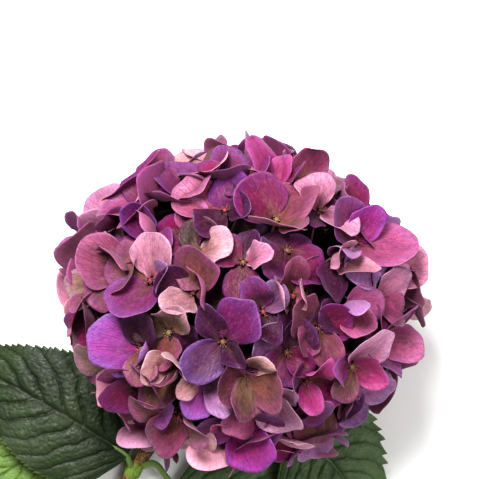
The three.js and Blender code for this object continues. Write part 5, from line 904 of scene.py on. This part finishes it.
for g_ in order:
    m, s = mains[owner[g_]], means[g_]
    path = bezier([HUB + m * 10.5, HUB + m * 15.0, HUB + s * 19.0, HUB + s * (BRANCH_END + 0.4)], 12)
    v, q, t, al = tube(path, 1.35 - 0.15 * np.sin(np.linspace(0, 3.1, 12)), 9)
    cyme.add(v, q, t, tint=rgba(lin((160, 98, 108))), tintf=0.1 + 0.3 * al)
o = cyme.build("cyme", STALK_MAT, KINDS)
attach(o, "root")
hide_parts("cyme_branches")

# ------------------------------------------------------------------ stem
def stem_path():
    plan = np.array([-math.cos(PLAN), -math.sin(PLAN), 0.0])
    start, neck = HUB - AXIS * (HUB_R + 0.4), HUB - AXIS * STEM_NECK
    pts = [start + (neck - start) * i / 3 for i in range(3)]
    for i in range(11):
        a = UP * (1 - i / 10)
        pts.append(neck + plan * STEM_BEND_R * (math.sin(UP) - math.sin(a)) - np.array([0, 0, STEM_BEND_R * (math.cos(a) - math.cos(UP))]))
    last = pts[-1].copy()
    R = STEM_LYING / STEM_SWING
    side = np.array([-plan[1], plan[0], 0.0])
    for i in range(1, 9):
        a = STEM_SWING * i / 8
        pts.append(last + plan * R * math.sin(a) + side * R * (1 - math.cos(a)))
    pts = np.array(pts)
    drop = STEM_R_LOW * 0.985 - last[2]
    for i in range(len(pts)):
        pts[i, 2] += drop * min(1, i / 12)
    return pts


SP = stem_path()
SL = np.concatenate([[0], np.cumsum(np.linalg.norm(np.diff(SP, axis=0), axis=1))])
TOTAL = SL[-1]


def stem_radius(s):
    r = STEM_R_TOP + (STEM_R_LOW - STEM_R_TOP) * np.clip(s / 120, 0, 1)
    for ns in NODE_S:
        r = r * (1 + 0.22 * np.exp(-((s - ns) / 4.0) ** 2))
    return r


def stem_at(s):
    return np.array([np.interp(s, SL, SP[:, k]) for k in range(3)])


def bark_bump(t, ang):
    s = t * TOTAL
    w = 0.035 * np.sin(3 * ang + 0.09 * s) + 0.025 * np.sin(7 * ang - 0.21 * s) + 0.02 * np.sin(5 * ang + 0.6 * s)
    return 1 + w * np.clip((s - 20) / 60, 0.25, 1)


ss = np.linspace(0, TOTAL, 220)
line = np.array([stem_at(s) for s in ss])
line[:, 2] = np.maximum(line[:, 2], stem_radius(ss) * 1.0)
ker = np.array([1, 2, 3, 2, 1]) / 9.0
for k in range(3):
    line[2:-2, k] = np.convolve(line[:, k], ker, "valid")
v, q, t, al = tube(line, stem_radius(ss), 28, bark_bump)
stem = Parts()
sgreen = np.clip(1 - (al * TOTAL - 30) / 70, 0, 1)
for ns in NODE_S[:2]:
    sgreen = np.maximum(sgreen, 0.95 * np.exp(-((al * TOTAL - ns + 1) / 5.5) ** 2))
stem.add(v, q, t, vein=sgreen)
# bud scales at the nodes
for ns, turns in ((44.0, (0.5, 2.6)), (108.0, (1.2, 2.9, 5.0)), (190.0, (0.8, 3.9))):
    c, c2 = stem_at(ns + 1), stem_at(ns - 3)
    ax = unit(c2 - c)
    e1, e2 = tangent_frame(ax)
    for a in turns:
        out = math.cos(a) * e1 + math.sin(a) * e2
        r = float(stem_radius(np.array([ns]))[0])
        p0 = c + out * (r - 0.6)
        p3 = p0 + ax * 8.0 + out * 1.6
        v, q, t, al = tube(bezier([p0, p0 + ax * 2 + out * 1.5, p3 - ax * 3 + out * 0.8, p3], 12),
                           1.75 * np.sin(np.linspace(0.5, math.pi - 0.12, 12)) ** 0.8, 10)
        stem.add(v, q, t, vein=np.full(len(v), 0.7 if ns < 150 else 0.1))


def bark_material():
    g = Graph("stem_bark")
    c = g.coords()
    n1, n2 = g.noise(c, 90.0, 4.0), g.noise(c, 700.0, 4.0)
    vor = g.edges(c, 420.0)
    brown = g.mix(g.ramp(n1, 0.3, 0.7), lin((84, 60, 36)), lin((142, 112, 74)))
    brown = g.mix(g.ramp(n2, 0.46, 0.60, 0.0, 0.6), brown, lin((176, 150, 108)))
    brown = g.mix(g.ramp(vor, 0.0, 0.08, 0.55, 0.0), brown, lin((58, 42, 26)))
    green = g.mix(g.ramp(n1, 0.35, 0.65), lin((92, 128, 48)), lin((132, 160, 76)))
    green = g.mix(g.ramp(n2, 0.52, 0.64, 0.0, 0.5), green, lin((150, 96, 84)))
    col = g.mix(g.ramp(g.math("ADD", g.attr("vein"), g.math("MULTIPLY", g.math("SUBTRACT", n1, 0.5), 0.5)), 0.25, 0.75), brown, green)
    return g.surface(col, 0.62, g.bump(g.math("SUBTRACT", n2, g.ramp(vor, 0.0, 0.1, 0.6, 0.0)), 0.6, 0.0006), Specular_IOR_Level=0.3)


o = stem.build("stem_piece", bark_material(), KINDS)
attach(o, "root")
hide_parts("stem")


# ------------------------------------------------------------------ leaves
def blade_width(t):
    x = np.clip(t, 0, 1)
    return np.sin(math.pi * x ** 0.72) ** 0.78 * (1 - 0.32 * x * x) * 1.06


def vnoise(x, y, seed):
    """Smooth noise from 0 to 1 on a plane."""
    tab = np.random.default_rng(int(seed * 100)).random((97, 97))
    xi, yi = np.floor(x).astype(int), np.floor(y).astype(int)
    fx, fy = x - xi, y - yi
    fx, fy = fx * fx * (3 - 2 * fx), fy * fy * (3 - 2 * fy)
    at = lambda i, j: tab[i % 97, j % 97]
    return (at(xi, yi) * (1 - fx) + at(xi + 1, yi) * fx) * (1 - fy) + (at(xi, yi + 1) * (1 - fx) + at(xi + 1, yi + 1) * fx) * fy


def leaf_relief(t, c, seed):
    """Height of the blade in mm and how much of a vein there is, t along 0-1, c across -1..1."""
    ac = np.abs(c)
    sgn = np.where(c > 0, 0.5, 0.0)
    wob = 0.30 * (vnoise(t * 11, c * 4.5, seed + 3) - 0.5) + 0.10 * (vnoise(t * 30, c * 13, seed + 4) - 0.5)
    vein = np.exp(-(c / 0.018) ** 2) * (1 - 0.5 * t)
    h = -1.0 * np.exp(-(c / 0.05) ** 2)
    q = 8.5 * (t - 0.16 * ac ** 1.4 - 0.12 * ac) + sgn * 0.9 + 0.35 + wob
    f = q - np.floor(q)
    d = np.minimum(f, 1 - f)
    lat = np.exp(-(d / (0.055 * (1 - 0.5 * ac))) ** 2) * np.clip(1.12 - ac, 0, 1) ** 0.5 * (t > 0.02)
    vein = np.maximum(vein, lat * 0.8)
    # tissue stands up between the veins, in cells
    cell = ac * 8.0 + 0.30 * np.sin(6.28 * f + seed) + 1.7 * (vnoise(t * 22, c * 8, seed + 5) - 0.5) + 0.8 * (vnoise(t * 60, c * 22, seed + 6) - 0.5)
    fc = cell - np.floor(cell)
    half = np.where(f > 0.5, 1.0, 0.0) * 0.45
    fc2 = (cell + half) - np.floor(cell + half)
    dc = np.minimum(fc2, 1 - fc2)
    tert = np.exp(-(dc / 0.11) ** 2) * np.clip(1.05 - ac, 0, 1) ** 0.5
    mid_rib = np.exp(-((f - 0.5) / 0.07) ** 2) * 0.6 * np.clip(ac * 4, 0, 1)
    vein = np.maximum(vein, np.maximum(tert, mid_rib) * 0.30)
    puff = np.clip(np.sin(math.pi * f), 0, 1) ** 0.5
    fade = np.clip(ac * 6, 0, 1) * np.clip(1.12 - ac, 0, 1) ** 0.6
    h = h + fade * (1.5 * (puff - 0.6) - 0.55 * tert - 0.40 * mid_rib) - 0.5 * lat
    h = h + 0.55 * (vnoise(t * 75, c * 30, seed + 7) - 0.5) * fade
    return h, vein


def leaf_material(name, top_a, top_b, under_a, under_b, painted_shade_gain=None):
    g = Graph(name)
    pos = g.node("ShaderNodeSeparateXYZ")
    g.put(pos.inputs[0], g.attr("leafpos", "Vector"))
    t, c, r = pos.outputs
    side, vein, rel = g.attr("side"), g.attr("vein"), g.attr("tintf")
    o = g.coords()
    n1, n2, n3 = g.noise(o, 28.0, 3.0), g.noise(o, 170.0, 4.0), g.noise(o, 900.0, 3.0)
    net = g.ramp(g.edges(g.xyz(t, g.math("MULTIPLY", c, 0.5), r), 46.0), 0.0, 0.09, 0.8, 0.0)
    top = g.mix(g.ramp(n1, 0.3, 0.7), top_a, top_b)
    top = g.mix(g.ramp(n2, 0.38, 0.66, 0.0, 0.35), top, g.mix(1.0, top, (0.70, 0.74, 0.60), "MULTIPLY"))
    # painted shade: where the blade's height (tintf) is low, in its hollows and grooves, the green is darkened
    top = g.mix(g.ramp(rel, -1.1, 0.25, 0.75, 0.0), top, g.mix(1.0, top, (0.28, 0.32, 0.26), "MULTIPLY"))
    # painted highlight: the blade's raised puffs are blended towards a pale grey-green
    top = g.mix(g.ramp(rel, 0.05, 0.75, 0.0, 0.45), top, g.mix(0.5, top, lin((126, 142, 116))))
    top = g.mix(g.math("MULTIPLY", net, 0.35), top, g.mix(1.0, top, (0.66, 0.70, 0.62), "MULTIPLY"))
    top = g.mix(g.ramp(vein, 0.42, 0.92, 0.0, 0.70), top, lin((132, 158, 106)))
    # painted shade: an optional darker copy of the same greens, for a leaf the key lamp lights fully
    if painted_shade_gain:
        top = g.mix(1.0, top, painted_shade_gain, "MULTIPLY")
    under = g.mix(g.ramp(n1, 0.3, 0.7), under_a, under_b)
    under = g.mix(g.ramp(vein, 0.15, 0.9, 0.0, 0.75), under, lin((186, 200, 148)))
    under = g.mix(g.math("MULTIPLY", net, 0.35), under, lin((150, 172, 112)))
    col = g.mix(side, top, under)
    col = g.mix(g.ramp(n3, 0.40, 0.62, 0.0, 0.18), col, g.mix(1.0, col, (0.72, 0.72, 0.66), "MULTIPLY"))
    edge = g.ramp(g.math("ABSOLUTE", c), 0.965, 1.0)
    col = g.mix(g.math("MULTIPLY", edge, 0.45), col, lin((128, 146, 84)))
    h = g.math("ADD", g.math("MULTIPLY", n3, 0.4), g.math("MULTIPLY", net, -0.6))
    rough = g.ramp(n2, 0.3, 0.7, 0.42, 0.56)
    return g.surface(col, rough, g.bump(h, 0.35, 0.0004), 0.10, g.mix(1.0, col, (0.9, 1.0, 0.35), "MULTIPLY"), Specular_IOR_Level=0.38)


LEAF_TOP = leaf_material("leaf_green", lin((65, 86, 59)), lin((99, 120, 83)), lin((104, 130, 66)), lin((132, 156, 86)))
# the big lower-left leaf: the same greens as leaf_green, multiplied down to about a fifth to a quarter as painted shade
LEAF_PAINTED_SHADE = leaf_material("leaf_green_painted_shade", lin((65, 86, 59)), lin((99, 120, 83)), lin((104, 130, 66)), lin((132, 156, 86)), (0.24, 0.275, 0.165))
LEAF_PALE = leaf_material("leaf_green_pale", lin((92, 118, 56)), lin((118, 144, 76)), lin((112, 140, 70)), lin((140, 164, 92)))

for li, (name, node, pet, a, k, b, w, lift) in enumerate(LEAVES):
    a, k, b = (np.array(x, float) for x in (a, k, b))
    nt_, nc = 190, 97
    # the blade's grid, for the teeth too: even rows along it, columns closer together towards the margin
    t = np.linspace(0, 1, nt_)[:, None]
    c = np.sign(np.linspace(-1, 1, nc)) * np.abs(np.linspace(-1, 1, nc)) ** 0.85
    c = c[None, :] * np.ones((nt_, 1))
    mid = a * (1 - t) ** 2 + k * 2 * t * (1 - t) + b * t ** 2
    mid = mid[:, None, :] if mid.ndim == 2 else mid
    dq = 2 * (1 - t) * (k - a) + 2 * t * (b - k)
    dq /= np.linalg.norm(dq, axis=1, keepdims=True)
    sd = np.stack([dq[:, 1], -dq[:, 0], np.zeros(nt_)], 1)
    sd /= np.linalg.norm(sd, axis=1, keepdims=True)
    teeth = 15 if name == "leaf_upper_right" else 34
    f = t * teeth + 0.15 * np.sin(t * 40 + li)
    f = f - np.floor(f)
    saw = (1 - f) ** 0.8 if False else f
    tooth = np.clip(t / 0.06, 0, 1) * np.clip((1 - t) / 0.03, 0, 1)
    width = np.maximum(w * blade_width(0.03 + 0.97 * t), 0.8) * (1 - np.clip((t - 0.985) / 0.015, 0, 1) * 0.6)
    deep = 3.4 if teeth == 15 else 1.9
    reach = width * (1 + 0.015 * np.sin(9 * t + li)) + deep * tooth * (saw - 0.5)
    lean = deep * 0.7 * tooth * saw
    ac = np.abs(c)
    off = c * (width + (reach - width) * ac ** 6)
    pts = mid + sd[:, None, :] * off[..., None] + dq[:, None, :] * (lean * ac ** 8 + 5.0 * ac ** 2 * np.exp(-t / 0.07))[..., None]
    h, vein = leaf_relief(t * np.ones_like(c), c, 1.7 * li + 0.6)
    base_z = mid[..., 2] + lift * width * ac - 0.0021 * (c * width) ** 2
    wav = 1.1 * np.sin(t * 17 + 2.2 * np.sign(c) + li) * ac ** 2 + 0.7 * np.sin(t * 31 + li * 2 + c) * ac ** 3
    fade = np.clip(t / 0.05, 0, 1) * np.clip((1 - t) / 0.04, 0, 1)
    z = base_z + (h * 0.85 + wav) * fade
    low = 0.75 + 0.5 * (h + 1.3) * 0.5
    z = np.where(z < low, low, z)
    pts[..., 2] = z
    n = grid_normals(pts)
    if n[..., 2].mean() < 0:
        n = -n
        rev = True
    else:
        rev = False
    v, q, side = leafshell(pts, n, np.full(pts.shape[:2], 0.75) - 0.35 * ac ** 4)
    if rev:
        q = q[:, ::-1]
    lp = np.stack([t * np.ones_like(c), c, np.full(c.shape, li * 3.1)], -1).reshape(-1, 3)
    part = Parts()
    # the blade's height goes in as tintf, which the leaf material uses for painted shade in the hollows and a painted
    # highlight on the puffs
    part.add(v, q, leafpos=np.concatenate([lp, lp]), side=side, vein=np.concatenate([vein.ravel()] * 2) * (1.0 if name.endswith("right") else 0.86), tintf=np.concatenate([h.ravel()] * 2))
    # petiole, grooved above, running out as the midrib under the blade
    root = stem_at(node)
    into = a + unit(k - a) * 12 + np.array([0, 0, -1.7])
    ctl = np.array([root] + [np.array(p, float) for p in pet] + [a + np.array([0, 0, -0.8]), into])
    cl = np.concatenate([[0], np.cumsum(np.linalg.norm(np.diff(ctl, axis=0), axis=1))])
    cl /= cl[-1]
    M = 34
    x = np.linspace(0, 1, M)
    path = np.stack([np.interp(x, cl, ctl[:, j]) for j in range(3)], 1)
    for _ in range(14):
        path[1:-1] = 0.5 * path[1:-1] + 0.25 * (path[2:] + path[:-2])
    rad = np.interp(x, [0, 0.1, 0.6, 0.85, 1], [2.8, 2.1, 1.8, 1.4, 0.45])
    path[:, 2] = np.maximum(path[:, 2], rad * 1.02)
    v, q, t2, al = tube(path, rad, 16, lambda tt, ang: 1 - 0.14 * np.exp(-((ang - 1.57) / 0.45) ** 2))
    lp = np.stack([al, np.zeros(len(v)), np.full(len(v), 7.7)], 1)
    part.add(v, q, t2, leafpos=lp, side=np.full(len(v), 1.0), vein=np.full(len(v), 0.35), tintf=np.full(len(v), 0.3))
    o = part.build(name + "_piece", {"leaf_upper_left": LEAF_PALE, "leaf_lower_left": LEAF_PAINTED_SHADE}.get(name, LEAF_TOP), KINDS)
    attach(o, "root")
    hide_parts(name)

# ------------------------------------------------------------------ table, light, camera
lo, hi = cad_lo, cad_hi
bpy.ops.mesh.primitive_plane_add(size=12, location=(0, 0, 0))
floor = bpy.context.object
floor.name = "floor"
gf = Graph("floor")
nf = gf.noise(gf.coords(), 3.0, 2.0)
floor.data.materials.append(gf.surface(gf.mix(nf, (0.86, 0.86, 0.86), (0.89, 0.89, 0.885)), 0.9, Specular_IOR_Level=0.1))

world = bpy.data.worlds.new("studio")
bpy.context.scene.world = world
world.use_nodes = True
world.node_tree.nodes["Background"].inputs[0].default_value = (1.0, 0.995, 0.985, 1)
world.node_tree.nodes["Background"].inputs[1].default_value = 0.30


def area(name, where, size, power, look):
    d = bpy.data.lights.new(name, "AREA")
    d.shape, d.size, d.energy = "DISK", size, power
    o = bpy.data.objects.new(name, d)
    o.location = where
    o.rotation_euler = (Vector(look) - Vector(where)).to_track_quat("-Z", "Y").to_euler()
    bpy.context.scene.collection.objects.link(o)
    return o


mid_ = ((lo[0] + hi[0]) / 2, (lo[1] + hi[1]) / 2 + 0.05, 0.06)
area("key", (-0.30, 0.75, 1.50), 0.75, 38.5, mid_)
area("fill", (0.75, -0.15, 1.6), 0.8, 11.5, mid_)

EL, DIST, MMPX = math.radians(85), 1700.0, 0.57
cdir = np.array([0, -math.cos(EL), math.sin(EL)])
right = np.array([1.0, 0, 0])
upv = np.cross(cdir, right)
look = HEAD_C + upv * (306 - 239.5) * MMPX - right * (240 - 239.5) * MMPX
eye_ = (look + cdir * DIST + SHIFT) * 0.001
cam = bpy.data.cameras.new("camera")
cam.sensor_width = 36
cam.lens = 36 * (DIST / MMPX) / 479
cam.clip_end = 20
co = bpy.data.objects.new("camera", cam)
co.location = eye_
co.rotation_euler = (-Vector(cdir)).to_track_quat("-Z", "Y").to_euler()
bpy.context.scene.collection.objects.link(co)
bpy.context.scene.camera = co
bpy.context.scene.view_settings.view_transform = "Standard"
bpy.context.scene.view_settings.look = "High Contrast"
